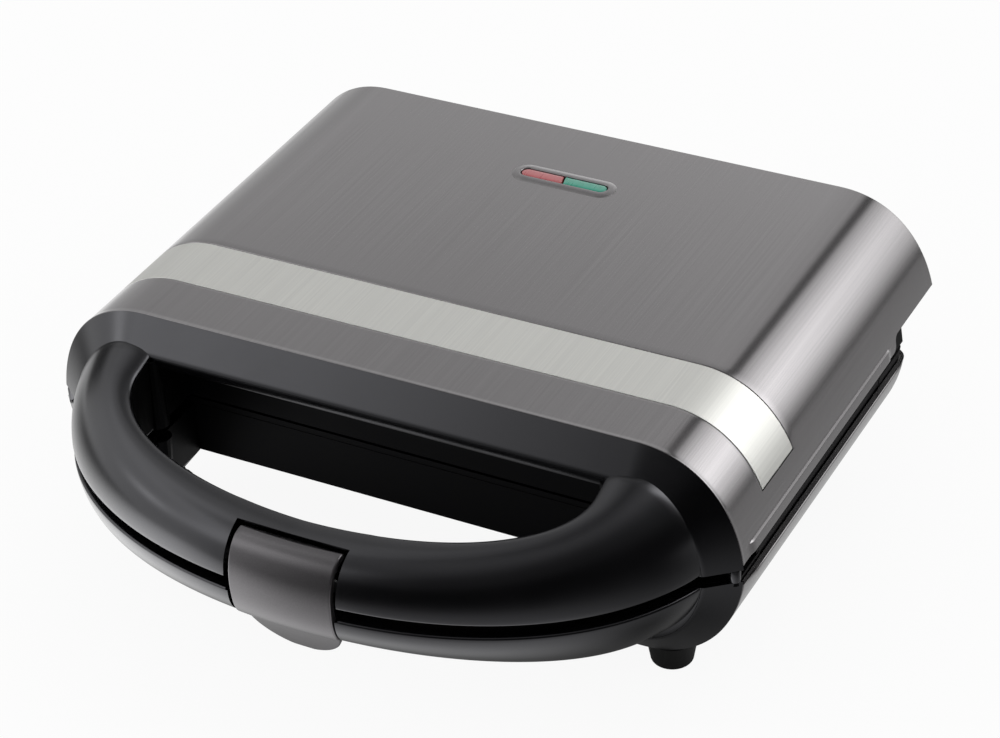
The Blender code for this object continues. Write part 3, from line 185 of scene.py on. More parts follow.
def arch_grid(y, turn, offset, side):
    """Rows of places over the whole arch, from the left foot to the right foot."""
    x, y, h = np.broadcast_arrays(arch_reach(turn, offset), y, arch_height(turn, offset))
    both = [np.hstack([sign * v[:, ::-1], v]) for sign, v in ((-1, x), (1, y), (1, h))]
    return place(*both, side)


# %% [markdown]
# ## The lid's metal cover
# The real cover is one sheet of steel, cut and bent, with a shallow groove pressed for the bright
# band, a rim rolled outwards along each lower edge and an S-shaped step where the edge rises near
# the hinges. The solid has the same shapes with flat facets. Here the sheet is worked out on a fine
# grid, so that the shoulders shine without facets and every edge has a small rounding that
# catches the light. Its front edge is flared by a tenth of a millimetre and laps over the ring in
# front of it. Rows run along the lid from front to rear, columns over the arch.

# %% Rows of the lid's cover from front to rear
STEP_AT, STEP_ARC = FRONT + EDGE_STEP_BACK, (LID_REAR_EDGE - LID_EDGE) / 2
GROOVE_FROM, GROOVE_TO = BAND_START - 0.25, BAND_START + BAND_WIDTH + 0.3
LEAD, FLARE = 0.8, 0.12


def lid_low(y):
    """Height of the lid's lower edge: level, then two quarter circles up to the rear level."""
    before = np.clip(y - STEP_AT + STEP_ARC, 0, STEP_ARC)
    after = np.clip(STEP_AT + STEP_ARC - y, 0, STEP_ARC)
    first, second = STEP_ARC - np.sqrt(STEP_ARC**2 - before**2), np.sqrt(STEP_ARC**2 - after**2)
    return LID_EDGE + np.where(y <= STEP_AT, first, STEP_ARC + second)


lip = np.array([0, 0.05, 0.15, 0.3, 0.5, 0.8, 1.4])
step_turn = np.radians(np.linspace(0, 90, 10))
lid_rows = np.concatenate([
    FRONT - LEAD + lip,
    FRONT + np.array([0.9, 1.3, 1.8]),
    FRONT + np.linspace(2.5, 10, 8),
    FRONT + np.linspace(12, 18.5, 3),
    GROOVE_FROM + np.array([-0.2, -0.08, 0, 0.03]),
    np.linspace(GROOVE_FROM, GROOVE_TO, 7)[1:-1],
    GROOVE_TO + np.array([-0.03, 0, 0.08, 0.2]),
    np.linspace(GROOVE_TO + 3, STEP_AT - 12, 14),
    STEP_AT - np.array([10, 9, 8, 7, 6, 5, 4, 3]),
    STEP_AT - STEP_ARC + STEP_ARC * np.sin(step_turn),
    STEP_AT + 0.01 + STEP_ARC * (1 - np.cos(step_turn)),
    np.linspace(STEP_AT + 4, LID_REAR - 3, 8),
    LID_REAR - lip[::-1],
])
print(len(lid_rows), "rows from", lid_rows[0], "to", lid_rows[-1])


# %% Columns over the arch, and how far each point is drawn in
EVEN = 41
COVER_ROUND, GROOVE_DEPTH, GROOVE_EDGE, GROOVE_ROUND = 0.25, 0.9, 0.12, 0.06


def shoulder_columns(low, split):
    """Angles of the columns, one row of them for each station: even steps from the flat top to the
    height split, a close pair there for the groove's end, then heights over the lower edge."""
    split = np.maximum(split, low + 9)[:, None]
    even = arch_turn(split) * np.linspace(0, 1, EVEN)
    pair = arch_turn(split - np.array([0.03, 1.5]))
    above_edge = [8, 7, 6, 5, 4.4, 4.1, 3.9, 3.7, 3.5, 3.3, 3, 2, 1, 0.7, 0.5, 0.3, 0.15, 0]
    return np.hstack([even, pair, arch_turn(low[:, None] + np.array(above_edge))])


def smooth_step(value):
    value = np.clip(value, 0, 1)
    return value * value * (3 - 2 * value)


def rim_bulge(above_edge, rim, y, start, end):
    """The rolled rim: one across its height, with soft upper and lower edges, and faded out over
    three millimetres at both ends."""
    across = smooth_step((above_edge + 0.35) / 0.7) * smooth_step((rim - above_edge) / 0.6)
    return across * smooth_step((y - start) / 3) * smooth_step((end - y) / 3)


low = lid_low(lid_rows)
turn = shoulder_columns(low, BAND_END - 0.3)
rows_y = lid_rows[:, None]
groove_rows = (rows_y > GROOVE_FROM + 0.01) & (rows_y < GROOVE_TO - 0.01)
groove_columns = np.arange(turn.shape[1])[None, :] < EVEN
groove_gap = np.minimum(abs(rows_y - GROOVE_FROM), abs(rows_y - GROOVE_TO))
groove_edge = GROOVE_EDGE * np.exp(-((groove_gap / GROOVE_ROUND) ** 2))
end_gap = np.minimum(rows_y - FRONT + LEAD, LID_REAR - rows_y)
flare = FLARE * (1 - smooth_step((rows_y - FRONT + LEAD) / (2 * LEAD)))
above_edge = arch_height(turn) - low[:, None]
bulge = rim_bulge(above_edge, RIM_HEIGHT, rows_y, FRONT + RIM_START, STEP_AT - RIM_STOP)
rounding = edge_round(end_gap, COVER_ROUND)
draw_in = rounding - flare - RIM_PROUD * bulge
draw_in = draw_in + np.where(groove_columns, np.where(groove_rows, GROOVE_DEPTH, groove_edge), 0)
outer = arch_grid(rows_y, turn, draw_in, LID)
inner = arch_grid(rows_y, turn, SHEET - 0.8 * rounding, LID)
sheet = np.concatenate([outer, inner[::-1]])
lid_cover = make_piece("lid_cover", sheet, sheet_faces(*outer.shape[:2]))
print("lid_cover:", len(lid_cover.data.polygons), "faces")


# %% [markdown]
# The window for the lamps is a slot with round ends, punched through the flat of the cover. A slot
# outline is the path of a circle whose middle goes along a short straight line, so one small
# function gives it for any radius, and the punch and the bezel use it. The lenses follow the same
# middle line.

# %% Punch the lamp window
WINDOW_BACK = FRONT + 120.9
BEZEL_HALF, BEZEL_RADIUS, LENS_HALF, LENS_RADIUS = 18.4, 5.4, 15.25, 2.2
SLOT_HALF_LINE = LENS_HALF - LENS_RADIUS


def slot_outline(radius, around=96, half_line=SLOT_HALF_LINE):
    """x and y round a slot: half circles about the two ends of its middle line."""
    turn = np.linspace(-math.pi / 2, 1.5 * math.pi, around, endpoint=False) + math.pi / around
    middle = np.where(np.cos(turn) > 0, half_line, -half_line)
    return middle + radius * np.cos(turn), radius * np.sin(turn)


def slot_plug(radius, h_low, h_high):
    x, y = slot_outline(radius)
    rings = place(x, y + WINDOW_BACK, np.array([[h_low], [h_high]]), LID)
    return make_piece("cutter", rings, tube_faces(2, len(x)))


carve(lid_cover, slot_plug(LENS_RADIUS + 2.8, HALF - 5, HALF + 4))
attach(lid_cover, "lid")
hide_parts("lid_shell")

# %% [markdown]
# ## The bright band
# A strip of stainless steel lies flush in the groove, over the arch from side to side. It is
# the same arch again with the sheet's own thickness, and its edges are barely broken.

# %% The band in its groove
BAND_ROUND = 0.16
band_rows = np.concatenate([BAND_START + lip[:6] * 0.4, [BAND_START + BAND_WIDTH / 2]])
band_rows = np.concatenate([band_rows, (2 * BAND_START + BAND_WIDTH - band_rows[:-1])[::-1]])
band_turn = np.linspace(0, arch_turn(BAND_END + 0.4), 44)
last_turns = arch_turn(BAND_END + np.array([0.25, 0.12, 0.04, 0]))
band_turn = np.concatenate([band_turn, last_turns])[None, :]
side_gap = np.minimum(band_rows - BAND_START, BAND_START + BAND_WIDTH - band_rows)[:, None]
end_gap = np.clip(arch_height(band_turn) - BAND_END, 0, None)
band_in = np.maximum(edge_round(side_gap, BAND_ROUND), edge_round(end_gap, BAND_ROUND))
outer = arch_grid(band_rows[:, None], band_turn, band_in, LID)
inner = arch_grid(band_rows[:, None], band_turn, np.full_like(band_in, BAND_SHEET + 0.2), LID)
strip = np.concatenate([outer, inner[::-1]])
bright_band = make_piece("bright_band", strip, sheet_faces(*outer.shape[:2]))
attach(bright_band, "lid")
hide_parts("lid_band")
print("bright_band:", len(bright_band.data.polygons), "faces")

# %% [markdown]
# ## The base's metal cover
# The base has the same arch upside down. Its rear end curls round into the rear wall instead of
# ending in a cut edge. Underneath, a wide scoop is cut out behind the handle for the fingers. Two
# pads of the moulding inside, which carry the front feet, come through holes in the sheet. The rear
# feet sit on the sheet itself, so it only has holes for their screws.

# %% The base's cover
CURL = 6.0
base_turns = np.radians([0, 8, 16, 25, 34, 43, 52, 60, 68, 75])
base_front_rows = np.concatenate([FRONT + lip, np.linspace(FRONT + 3, BASE_REAR - CURL - 3, 22)])
BASE_RIM = RIM_HEIGHT / 2


def base_stations(inset):
    """y and offset of each row: level, then round the rear corner at an inset from its outside."""
    level = edge_round(base_front_rows - FRONT, 0.55) * (1 if inset == 0 else -0.8) + inset
    radius = CURL - inset
    y = np.concatenate([base_front_rows, BASE_REAR - CURL + radius * np.sin(base_turns)])
    return y, np.concatenate([level, inset + radius * (1 - np.cos(base_turns))])


def base_columns(offset):
    split = arch_turn(BASE_EDGE + 3, offset)
    even = split[:, None] * np.linspace(0, 1, EVEN)
    above_edge = [2.4, 2.1, 1.9, 1.7, 1.5, 1.2, 0.7, 0.5, 0.3, 0.15, 0]
    edge = np.stack([arch_turn(BASE_EDGE + a, offset) for a in above_edge], axis=1)
    return np.hstack([even, edge])


base_grids = []
for inset in (0, SHEET):
    y, offset = base_stations(inset)
    turn = base_columns(offset)
    above = arch_height(turn, offset[:, None]) - BASE_EDGE
    bulge = rim_bulge(above, BASE_RIM, y[:, None], FRONT + RIM_START, BASE_REAR - CURL)
    proud = RIM_PROUD * bulge if inset == 0 else 0
    base_grids.append(arch_grid(y[:, None], turn, offset[:, None] - proud, BASE))
base_points = np.concatenate([base_grids[0], base_grids[1][::-1]])
base_cover = make_piece("base_cover", base_points, sheet_faces(*base_grids[0].shape[:2]))

# %% Cut the scoop and the foot holes
GRIP_HALF, BAY_BACK, BAY_WALL = 76.5, FRONT + 12.0, 20.3
SCOOP_WIDER, SCOOP_SIDES, SCOOP_LONGER = 12.0, 15.5, 24.0
FOOT_SPREAD, FOOT_ROWS = 88.3, (FRONT + 9.5, FRONT + 117.0)
PAD_HOLE, SCREW_HOLE, UNDER = 8.6, 1.8, HALF + 4


def scoop_cutter():
    """The space under the handle: a slot whose mouth grows wider and longer towards the bottom."""
    rings = []
    for h, share in ((BAY_WALL, 0), (UNDER, (UNDER - BAY_WALL) / (HALF - BAY_WALL))):
        front, back = GRIP_HALF + SCOOP_WIDER * share, GRIP_HALF + SCOOP_SIDES * share
        far = BAY_BACK + SCOOP_LONGER * share
        near, x = FRONT - 0.3, np.array([-front, front, back, -back])
        rings.append(place(x, np.array([near, near, far, far]), h, BASE))
    return make_piece("cutter", np.array(rings), tube_faces(2, 4))


def bay_block():
    """The upright part of the finger bay, from in front of the ring back to the bay's wall."""
    return block((-GRIP_HALF, FRONT - 12.5, -4), (GRIP_HALF, BAY_BACK, UNDER), BASE)


foot_places = [(sign * FOOT_SPREAD, y) for y in FOOT_ROWS for sign in (-1, 1)]
carve(base_cover, bay_block(), scoop_cutter())
for x, y in foot_places:
    hole = PAD_HOLE if y < 0 else SCREW_HOLE
    plug = spin(x, y, np.array([[hole, HALF - 8], [hole, UNDER]]), BASE, 48)
    carve(base_cover, make_piece("cutter", plug, tube_faces(2, 48)))
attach(base_cover, "base")
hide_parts("base_shell")
print("base_cover:", len(base_cover.data.polygons), "faces")

# %% [markdown]
# ## The sloped front rings
# In front of each metal cover a black moulded ring slopes inwards to the handle, like a bevel that
# follows the arch. Its profile is short: it starts under the sheet's edge, comes out flush with the
# cover, slopes in, turns over a soft corner and ends in an upright lip. Carrying that profile round
# the arch gives the ring. It lies a tenth of a millimetre over the solid, with a wall that goes
# into it, so no crack shows between the two.

# %% Front rings of lid and base
BEVEL_DEPTH, BEVEL_DROP, SKIN, CORNER_REACH, RING_WALL = 8.5, 9.5, 0.1, 1.3, 1.6
LID_FACE, BASE_FACE, LID_LIP = 1.7, 2.5, 24.7


def ring_profile(lip_end):
    """Loop of (distance ahead of the front, offset): down the slope on the outside, round the
    corner, down the lip, and back inside the wall. The corner is an arc that both sides touch."""
    start = np.array([0.86, 0.02])
    corner = np.array([BEVEL_DEPTH + 0.16, BEVEL_DROP - 0.13])
    slope, downwards = (start - corner) / np.linalg.norm(start - corner), np.array([0.0, 1.0])
    share = np.linspace(0, 1, 9)[:, None]
    corner_arc = corner + CORNER_REACH * ((1 - share) ** 2 * slope + share**2 * downwards)
    top_edge = [[0.2, 1.6], [0.3, 0.9], [0.6, 0.3]]
    slope_points = start + (corner_arc[0] - start) * np.linspace(0, 0.97, 6)[:, None]
    inside = BEVEL_DEPTH - RING_WALL
    end = [[BEVEL_DEPTH + SKIN, lip_end - 0.3], [BEVEL_DEPTH, lip_end], [inside, lip_end]]
    back = [[inside, BEVEL_DROP + RING_WALL], [1.2, 2.4]]
    return np.vstack([top_edge, slope_points, corner_arc, end, back])


def make_front_ring(name, side, face, lip_end):
    """The profile carried round the arch: one loop of it at each angle, from side to side."""
    profile = ring_profile(lip_end)
    ahead, offset = profile[:, :1], profile[:, 1:]
    turn = arch_turn(face, offset) * np.linspace(0, 1, 61)
    rows = arch_grid(FRONT - ahead, turn, offset, side)
    columns = rows.transpose(1, 0, 2)
    return make_piece(name, columns, tube_faces(*columns.shape[:2]), sharp=40)


lid_front_ring = make_front_ring("lid_front_ring", LID, LID_FACE - 0.05, HALF - LID_LIP + 0.05)
base_lip = HALF - BAY_WALL + 0.05
base_front_ring = make_front_ring("base_front_ring", BASE, BASE_FACE - 0.05, base_lip)
carve(base_front_ring, bay_block(), sharp=40)
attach(lid_front_ring, "lid")
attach(base_front_ring, "base")
for ring in (lid_front_ring, base_front_ring):
    print(ring.name + ":", len(ring.data.polygons), "faces")

# %% [markdown]
# ## The handle halves
# Each half of the D-shaped handle is a moulding whose section changes on the way round: a flat
# inner wall for the fingers, a soft crown and a rounded outer side. The outer edge, seen from
# above, is a superellipse, and the inner one is straight first and then another superellipse. A
# section for each station, all of them in one array, gives the whole half.

# %% Handle halves
HANDLE_FRONT, HANDLE_HALF, HANDLE_THICK = -108.75, 109.6, 17.2
HANDLE_CENTRE, HANDLE_POWER = FRONT + 16.0, 2.15
CURVE_START, GRIP_POWER = FRONT - 14.6, 2.06
FRONT_DEPTH, CROWN_SHARE, EDGE_FILLET = 16.2, 0.31, 0.8
GROW = 0.12


def handle_plan(share):
    """Inner and outer edge of the handle seen from above, at a share of the way from its start
    inside the front corner to the middle of the front."""
    start, inner_front = FRONT - BEVEL_DEPTH + 2.2, HANDLE_FRONT + HANDLE_THICK + GROW
    length = HANDLE_CENTRE - HANDLE_FRONT
    first = math.asin(((HANDLE_CENTRE - start) / length) ** (HANDLE_POWER / 2))
    turn = first + (math.pi / 2 - first) * share
    outer_x = (HANDLE_HALF + GROW) * np.clip(np.cos(turn), 0, 1) ** (2 / HANDLE_POWER)
    outer_y = HANDLE_CENTRE - (length + GROW) * np.sin(turn) ** (2 / HANDLE_POWER)
    straight = (start - CURVE_START) / (start - inner_front) / 2
    bent = np.clip((share - straight) / (1 - straight), 0, 1) * math.pi / 2
    inner_x = (GRIP_HALF - GROW) * np.clip(np.cos(bent), 0, 1) ** (2 / GRIP_POWER)
    walk = start + (CURVE_START - start) * np.clip(share / straight, 0, 1)
    inner_y = walk - (CURVE_START - inner_front) * np.sin(bent) ** (2 / GRIP_POWER)
    return inner_x, inner_y, outer_x, outer_y


def handle_half(name, side, face, root_depth, crown, powers, soft=0.4):
    """The section at each station: from the inner edge up the wall, round a soft edge or crown, and
    down a superellipse quarter to the outer edge, with both lower edges rounded. The depth and the
    quarter's power change from the corner, where root_depth and powers[0] hold, to the front."""
    share = np.linspace(0, 1, 72)[:, None]
    inner_x, inner_y, outer_x, outer_y = handle_plan(share)
    width = np.hypot(outer_x - inner_x, outer_y - inner_y)
    root, inner_front = FRONT - BEVEL_DEPTH, HANDLE_FRONT + HANDLE_THICK
    rise = np.clip((root - inner_y) / (root - inner_front), 0, 1)
    fade, bottom = 1 - share, face - 0.06
    peak = root_depth + (FRONT_DEPTH - root_depth) * rise + GROW + crown * fade
    top = peak - np.maximum(crown * fade, soft)
    peak_at = np.maximum(CROWN_SHARE * fade, soft / width)
    crown_width = np.where(crown * fade > soft, peak_at, soft / width)
    power = powers[0] + (powers[1] - powers[0]) * (1 - fade)
    low = EDGE_FILLET * (1 - np.cos(np.linspace(0, math.pi / 2, 6)))[None, :]
    wall_h = bottom + np.hstack([low + 0 * top, (top - bottom + EDGE_FILLET) / 2])
    crown_turn = np.linspace(0, math.pi / 2, 10)[None, :-1]
    crown_u = crown_width * (1 - np.cos(crown_turn))
    crown_h = top + (peak - top) * np.sin(crown_turn)
    last_h = bottom + low[:, ::-1]
    last_turn = np.arccos(np.clip(((last_h - bottom) / (peak - bottom)) ** (power / 2), 0, 1))
    drop_turn = last_turn[:, :1] * np.linspace(0, 1, 28)[None, :-1]
    outer_turn = np.hstack([drop_turn, last_turn])
    outer_u = peak_at + (1 - peak_at) * np.sin(outer_turn) ** (2 / power)
    drop_h = bottom + (peak - bottom) * np.cos(drop_turn) ** (2 / power)
    outer_h = np.hstack([drop_h, last_h + 0 * top])
    fillet_in = edge_round(wall_h - bottom, EDGE_FILLET) / width
    fillet_out = edge_round(outer_h - bottom, EDGE_FILLET) / width
    u = np.hstack([fillet_in, crown_u, outer_u - fillet_out])
    h = np.hstack([wall_h, crown_h, outer_h])
    x, y = inner_x + (outer_x - inner_x) * u, inner_y + (outer_y - inner_y) * u
    right = place(x, y, h, side)
    left = right * (-1, 1, 1)
    rings = np.concatenate([left, right[-2::-1]])
    return make_piece(name, rings, tube_faces(*rings.shape[:2]), sharp=50)


lid_grip = handle_half("lid_grip", LID, LID_FACE, 26.7, 2.5, (1.85, 2.3))
base_grip = handle_half("base_grip", BASE, BASE_FACE, 25.2, 0.0, (1.6, 2.4))

# %% [markdown]
# The clip lies in a slot across the handle's front. The slot is cut from the finished mouldings,
# as the mould's own slide would leave it. The top of its rear wall overhangs a little, so that only
# a thin line stays open above the clip's lip. For three millimetres from the parting both halves
# are cut back further, so that no lit edge shows beside the clip. Each cutter starts a little
# further out than the one before, since a Boolean does badly where faces of two cutters coincide.

# %% Cut the clip's slot and mount the handle
SLOT_HALF, SLOT_FLOOR = 18.6, HANDLE_FRONT + HANDLE_THICK - 4.8
OVERHANG, OVERHANG_H, SHELF, SHELF_BACK = 1.6, 15.4, 3, 4
halves = (
    (lid_grip, LID, "lid", SLOT_HALF - 0.1, OVERHANG_H),
    (base_grip, BASE, "base", SLOT_HALF - 0.9, HALF),
)
for grip, side, body, half, top in halves:
    deep = block((-half, HANDLE_FRONT - 4, -4), (half, SLOT_FLOOR - 0.1, top), side)
    mouth = block((-half, HANDLE_FRONT - 5, -5), (half, SLOT_FLOOR - OVERHANG, HALF), side)
    back = (SLOT_HALF, SLOT_FLOOR + SHELF_BACK, SHELF)
    shelf = block((-SLOT_HALF, HANDLE_FRONT - 6, -SHELF), back, side)
    carve(grip, deep, mouth, shelf, sharp=50)
    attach(grip, body)
    print(grip.name + ":", len(grip.data.polygons), "faces")

# %% [markdown]
# ## The latch clip
# The clip is a curved plate with a tongue for the fingertip below a crease. Its side view is half
# of a flat ellipse from the lip at the top to the crease, then a straight line. A rounded
# rectangle, its section, is carried along that line and narrows along the tongue like half an
# ellipse. Two small lugs behind it hold it on its pin.

# %% The clip's path and section
CLIP_HALF, CLIP_SHEET, CLIP_PROUD, CLIP_TOP, CLIP_LIP = 16.9, 2.4, 0.4, 15.0, 9.8
CLIP_BELOW, CLIP_TUCK, CLIP_BOW, CLIP_POWER = 12.8, 5.3, 0.8, 0.8
TONGUE_HALF, TONGUE_LENGTH, TONGUE_LEAN = 15.5, 14.3, math.radians(26)
LATCH_Y, LATCH_H = HANDLE_FRONT + 8.8, 10.2
CLIP_CORNER, FACE_ROWS = 0.55, 61


def clip_path():
    """y, h and half width at each row, from the lip down the face and along the tongue."""
    middle, half = (CLIP_TOP - CLIP_BELOW) / 2, (CLIP_TOP + CLIP_BELOW) / 2
    turn = np.linspace(math.pi / 2, -math.pi / 2, FACE_ROWS)
    back = np.where(turn > 0, CLIP_LIP, CLIP_TUCK) * (1 - np.cos(turn) ** CLIP_POWER)
    y, h = HANDLE_FRONT - CLIP_PROUD + back, middle + half * np.sin(turn)
    run = TONGUE_LENGTH * np.sin(np.radians(np.concatenate([[2, 5], np.linspace(10, 84, 18)])))
    y = np.concatenate([y, y[-1] + run * math.sin(TONGUE_LEAN)])
    h = np.concatenate([h, h[-1] - run * math.cos(TONGUE_LEAN)])
    narrowing = smooth_step((np.arange(FACE_ROWS) - (FACE_ROWS - 4)) / 4)
    neck = CLIP_HALF - (CLIP_HALF - TONGUE_HALF) * narrowing
    return y, h, np.concatenate([neck, TONGUE_HALF * np.sqrt(1 - (run / TONGUE_LENGTH) ** 2)])


def clip_section():
    """Loop round the section: shares of the half width less the corner, what the corners add to
    that, and the depth behind the face."""
    face, none = np.linspace(-1, 1, 21), np.zeros(21)
    bend = np.radians(np.linspace(90, 0, 6))
    one, out, back = np.ones(6), CLIP_CORNER * np.cos(bend), CLIP_CORNER * np.cos(bend[::-1])
    across = np.concatenate([face, one, one, face[::-1], -one, -one])
    extra = np.concatenate([none, out, back, none, -out, -back])
    near = CLIP_CORNER * (1 - np.sin(bend))
    far = CLIP_SHEET - near[::-1]
    depth = np.concatenate([none, near, far, none + CLIP_SHEET, far[::-1], near[::-1]])
    return across[None, :], extra[None, :], depth[None, :]


path_y, path_h, path_half = clip_path()
step_y, step_h = np.gradient(path_y), np.gradient(path_h)
size = np.hypot(step_y, step_h)
inward_y, inward_h = (-step_h / size)[:, None], (step_y / size)[:, None]
across, extra, depth = clip_section()
walked = np.concatenate([[0], np.cumsum(np.hypot(np.diff(path_y), np.diff(path_h)))])
edge_gap = np.minimum(walked, walked[-1] - walked)[:, None]
thin = 1 - 2 * edge_round(edge_gap, 0.5) / CLIP_SHEET
x = across * (path_half[:, None] - CLIP_CORNER) + extra
deep = CLIP_SHEET / 2 + (depth - CLIP_SHEET / 2) * thin
y = path_y[:, None] + CLIP_BOW * (x / CLIP_HALF) ** 2 + inward_y * deep
h = path_h[:, None] + inward_h * deep
rings = place(x, y, h, LID)
clip_cover = make_piece("clip_cover", rings, tube_faces(*rings.shape[:2]), sharp=24)


# %% The clip's lugs
def make_lug(name, centre_x, half=3.0, radius=2.6, arm=2.6, bore=1.5):
    """An eye round the pin with an arm to the plate, seen from the side and given a width. Its
    outside is a circle at the rear and a straight-sided arm in front, its inside the bore."""
    turn = np.linspace(0, 2 * math.pi, 48, endpoint=False)
    reach = radius + arm * np.maximum(-np.cos(turn), 0) ** 0.35
    outside = np.stack([LATCH_Y + np.cos(turn) * reach, LATCH_H + np.sin(turn) * radius], axis=-1)
    inside = np.stack([LATCH_Y + np.cos(turn) * bore, LATCH_H + np.sin(turn) * bore], axis=-1)
    loops = [(outside, -half), (outside, half), (inside, half), (inside, -half)]
    rows = np.array([place(centre_x + shift, loop[:, 0], loop[:, 1], LID) for loop, shift in loops])
    return make_piece(name, rows, quads(4, len(turn), True, True).tolist())


clip_lugs = [make_lug("clip_lug_left", -10.5), make_lug("clip_lug_right", 10.5)]
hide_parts("latch_clip")
for piece in (clip_cover, *clip_lugs):
    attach(piece, "latch")
print("clip_cover:", len(clip_cover.data.polygons), "faces")

# %% [markdown]
# ## The lamp window
# A raised oval bezel frames a red and a green lens with a slanting gap between them. The bezel is
# a profile carried round the slot outline, and each lens is a plug with half the slot's outline, a
# broken top edge and a slightly domed top.

# %% Bezel
CREST, SLOPE, RISE, SLOPE_POWER = 2.7, 2.55, 0.55, 2.4


def make_bezel():
    """Rows follow the profile of (radius, height over the cover), columns the slot's outline. The
    profile climbs from its outer edge to the crest as one minus a power of the distance, then goes
    over the soft inner edge, down the mouth and back outside through the cover's hole."""
    out = np.linspace(1, 0, 14)
    crown = np.stack([CREST + SLOPE * out, 0.01 + RISE * (1 - out**SLOPE_POWER)], axis=1)
    mouth = [[2.6, 0.53], [2.5, 0.45], [2.42, 0.3], [2.38, 0.0]]
    hidden = [[2.38, -3.6], [4.6, -3.6], [4.6, -0.02], [5.2, -0.02]]
    profile = np.vstack([crown, mouth, hidden])
    x, y = slot_outline(1.0, 128, half_line=0.0)
    ends = np.where(x > 0, BEZEL_HALF - BEZEL_RADIUS, BEZEL_RADIUS - BEZEL_HALF)
    radius = profile[:, :1]
    rows = place(ends + radius * x, WINDOW_BACK + radius * y, HALF + profile[:, 1:], LID)
    return make_piece("window_bezel", rows, quads(*rows.shape[:2], True, True).tolist(), sharp=48)


window_bezel = make_bezel()
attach(window_bezel, "lid")
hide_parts("lamp_bezel")

# %% Lenses
LENS_GAP, LENS_SHIFT, LENS_SLANT = 0.15, -0.25, -0.22


def lens_outline(sign, inset):
    """Half of the slot: a half circle at the outer end, a straight side, a slanting inner end and
    the other side, all drawn in by inset."""
    turn = math.pi / 2 - np.linspace(0, math.pi, 22) - (0 if sign > 0 else math.pi)
    x = sign * SLOT_HALF_LINE + (LENS_RADIUS - inset) * np.cos(turn)
    y = (LENS_RADIUS - inset) * np.sin(turn)
    inner_y = np.linspace(y[-1], y[0], 8)
    inner_x = sign * (LENS_GAP + inset) + LENS_SHIFT + LENS_SLANT * inner_y
    side = np.linspace(0, 1, 14)[1:-1]
    leave, back = x[-1] + (inner_x[0] - x[-1]) * side, inner_x[-1] + (x[0] - inner_x[-1]) * side
    flat = np.ones_like(side)
    x = np.concatenate([x, leave, inner_x, back])
    return x, np.concatenate([y, flat * y[-1], inner_y, flat * y[0]])


def make_lens(name, sign):
    """Rings up the lens at stations of (height over the cover, inset): straight sides, a rounded
    top edge and a low dome."""
    rounded = [(0.05, 0.17), (0.19, 0.21), (0.29, 0.31), (0.34, 0.47)]
    rings = []
    for h, inset in [(-3.6, 0.17), *rounded, (0.38, 1.0), (0.4, 1.7)]:
        x, y = lens_outline(sign, inset)
        rings.append(place(x, y + WINDOW_BACK, HALF + h, LID))
    return make_piece(name, np.array(rings), tube_faces(len(rings), len(x)), sharp=60)


lenses = {"red": make_lens("red_window", -1), "green": make_lens("green_window", 1)}
for colour, lens in lenses.items():
    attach(lens, "lid")
    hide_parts(colour + "_lens")

# %% [markdown]
# ## The closing stops
# At each front corner a small peg stands on the base's ring, and the lid comes down on it. Its head
# is domed and worn smooth, so it catches a spot of light in the dark gap.

# %% Closing stops
STOP_RADIUS, STOP_X, STOP_DOME = 1.8, 113, 0.35


def make_stop(name, x):
    """A peg with a domed head: its outline of (radius, h) spun round the middle."""
    dome = np.radians(np.linspace(0, 90, 8))[:-1]
    top = 0.1 - LID_FACE + STOP_DOME * (1 - np.sin(dome))
    head = np.stack([STOP_RADIUS * np.cos(dome), top], axis=1)
    rows = spin(x, FRONT - 1, np.vstack([[STOP_RADIUS, BASE_FACE], head]), BASE, 32)
    return make_piece(name, rows, tube_faces(*rows.shape[:2]))


closing_stops = [make_stop("closing_stop_left", -STOP_X), make_stop("closing_stop_right", STOP_X)]
for stop in closing_stops:
    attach(stop, "base")
print("closing stops:", len(closing_stops))

# %% [markdown]
# ## The feet
# Each foot is a turned rubber cone with a rounded lower edge and a stepped hole for its screw. The
# outline of half its section, spun round the middle, gives it: a closed loop times a full turn.

# %% Feet
FOOT_TOP, FOOT_BOTTOM, FOOT_ROUND, HEAD_HOLE = 7.9, 6.6, 1.2, 3.3
FRONT_FOOT_FROM, REAR_FOOT_FROM, GROUND = 38.15, HALF + 0.3, HALF + 10.5


def make_foot(name, x, y, top):
    """The loop of (radius, h) round half the section: down the cone, over the rounded lower edge,
    across the underside and up the stepped hole. It is spun round the middle."""
    round_turn = np.radians(np.linspace(0, 90, 8))
    edge_r = FOOT_BOTTOM - FOOT_ROUND * (1 - np.cos(round_turn))
    edge_h = GROUND - FOOT_ROUND * (1 - np.sin(round_turn))
    cone = [[FOOT_TOP - 1.3 * s, top + 0.3 + (GROUND - 1.5 - top) * s] for s in (0.3, 0.6)]
    under = [[3.9, GROUND], [3.5, GROUND - 0.15], [HEAD_HOLE, GROUND - 0.5]]
    hole = [[HEAD_HOLE, top + 2.5], [SCREW_HOLE, top + 2.5], [SCREW_HOLE, top]]
    outside = [[7.6, top], [FOOT_TOP, top + 0.3], *cone]
    loop = np.vstack([outside, np.stack([edge_r, edge_h], axis=1), under, hole])
    rows = spin(x, y, loop, BASE, 72)
    return make_piece(name, rows, quads(*rows.shape[:2], True, True).tolist())


feet = []
for (x, y), where in zip(foot_places, ("front_left", "front_right", "rear_left", "rear_right")):
    foot = make_foot("rubber_foot_" + where, x, y, FRONT_FOOT_FROM if y < 0 else REAR_FOOT_FROM)
    feet.append(foot)
    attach(foot, "base")
    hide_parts("foot_" + where)
print("feet:", *(foot.name for foot in feet))

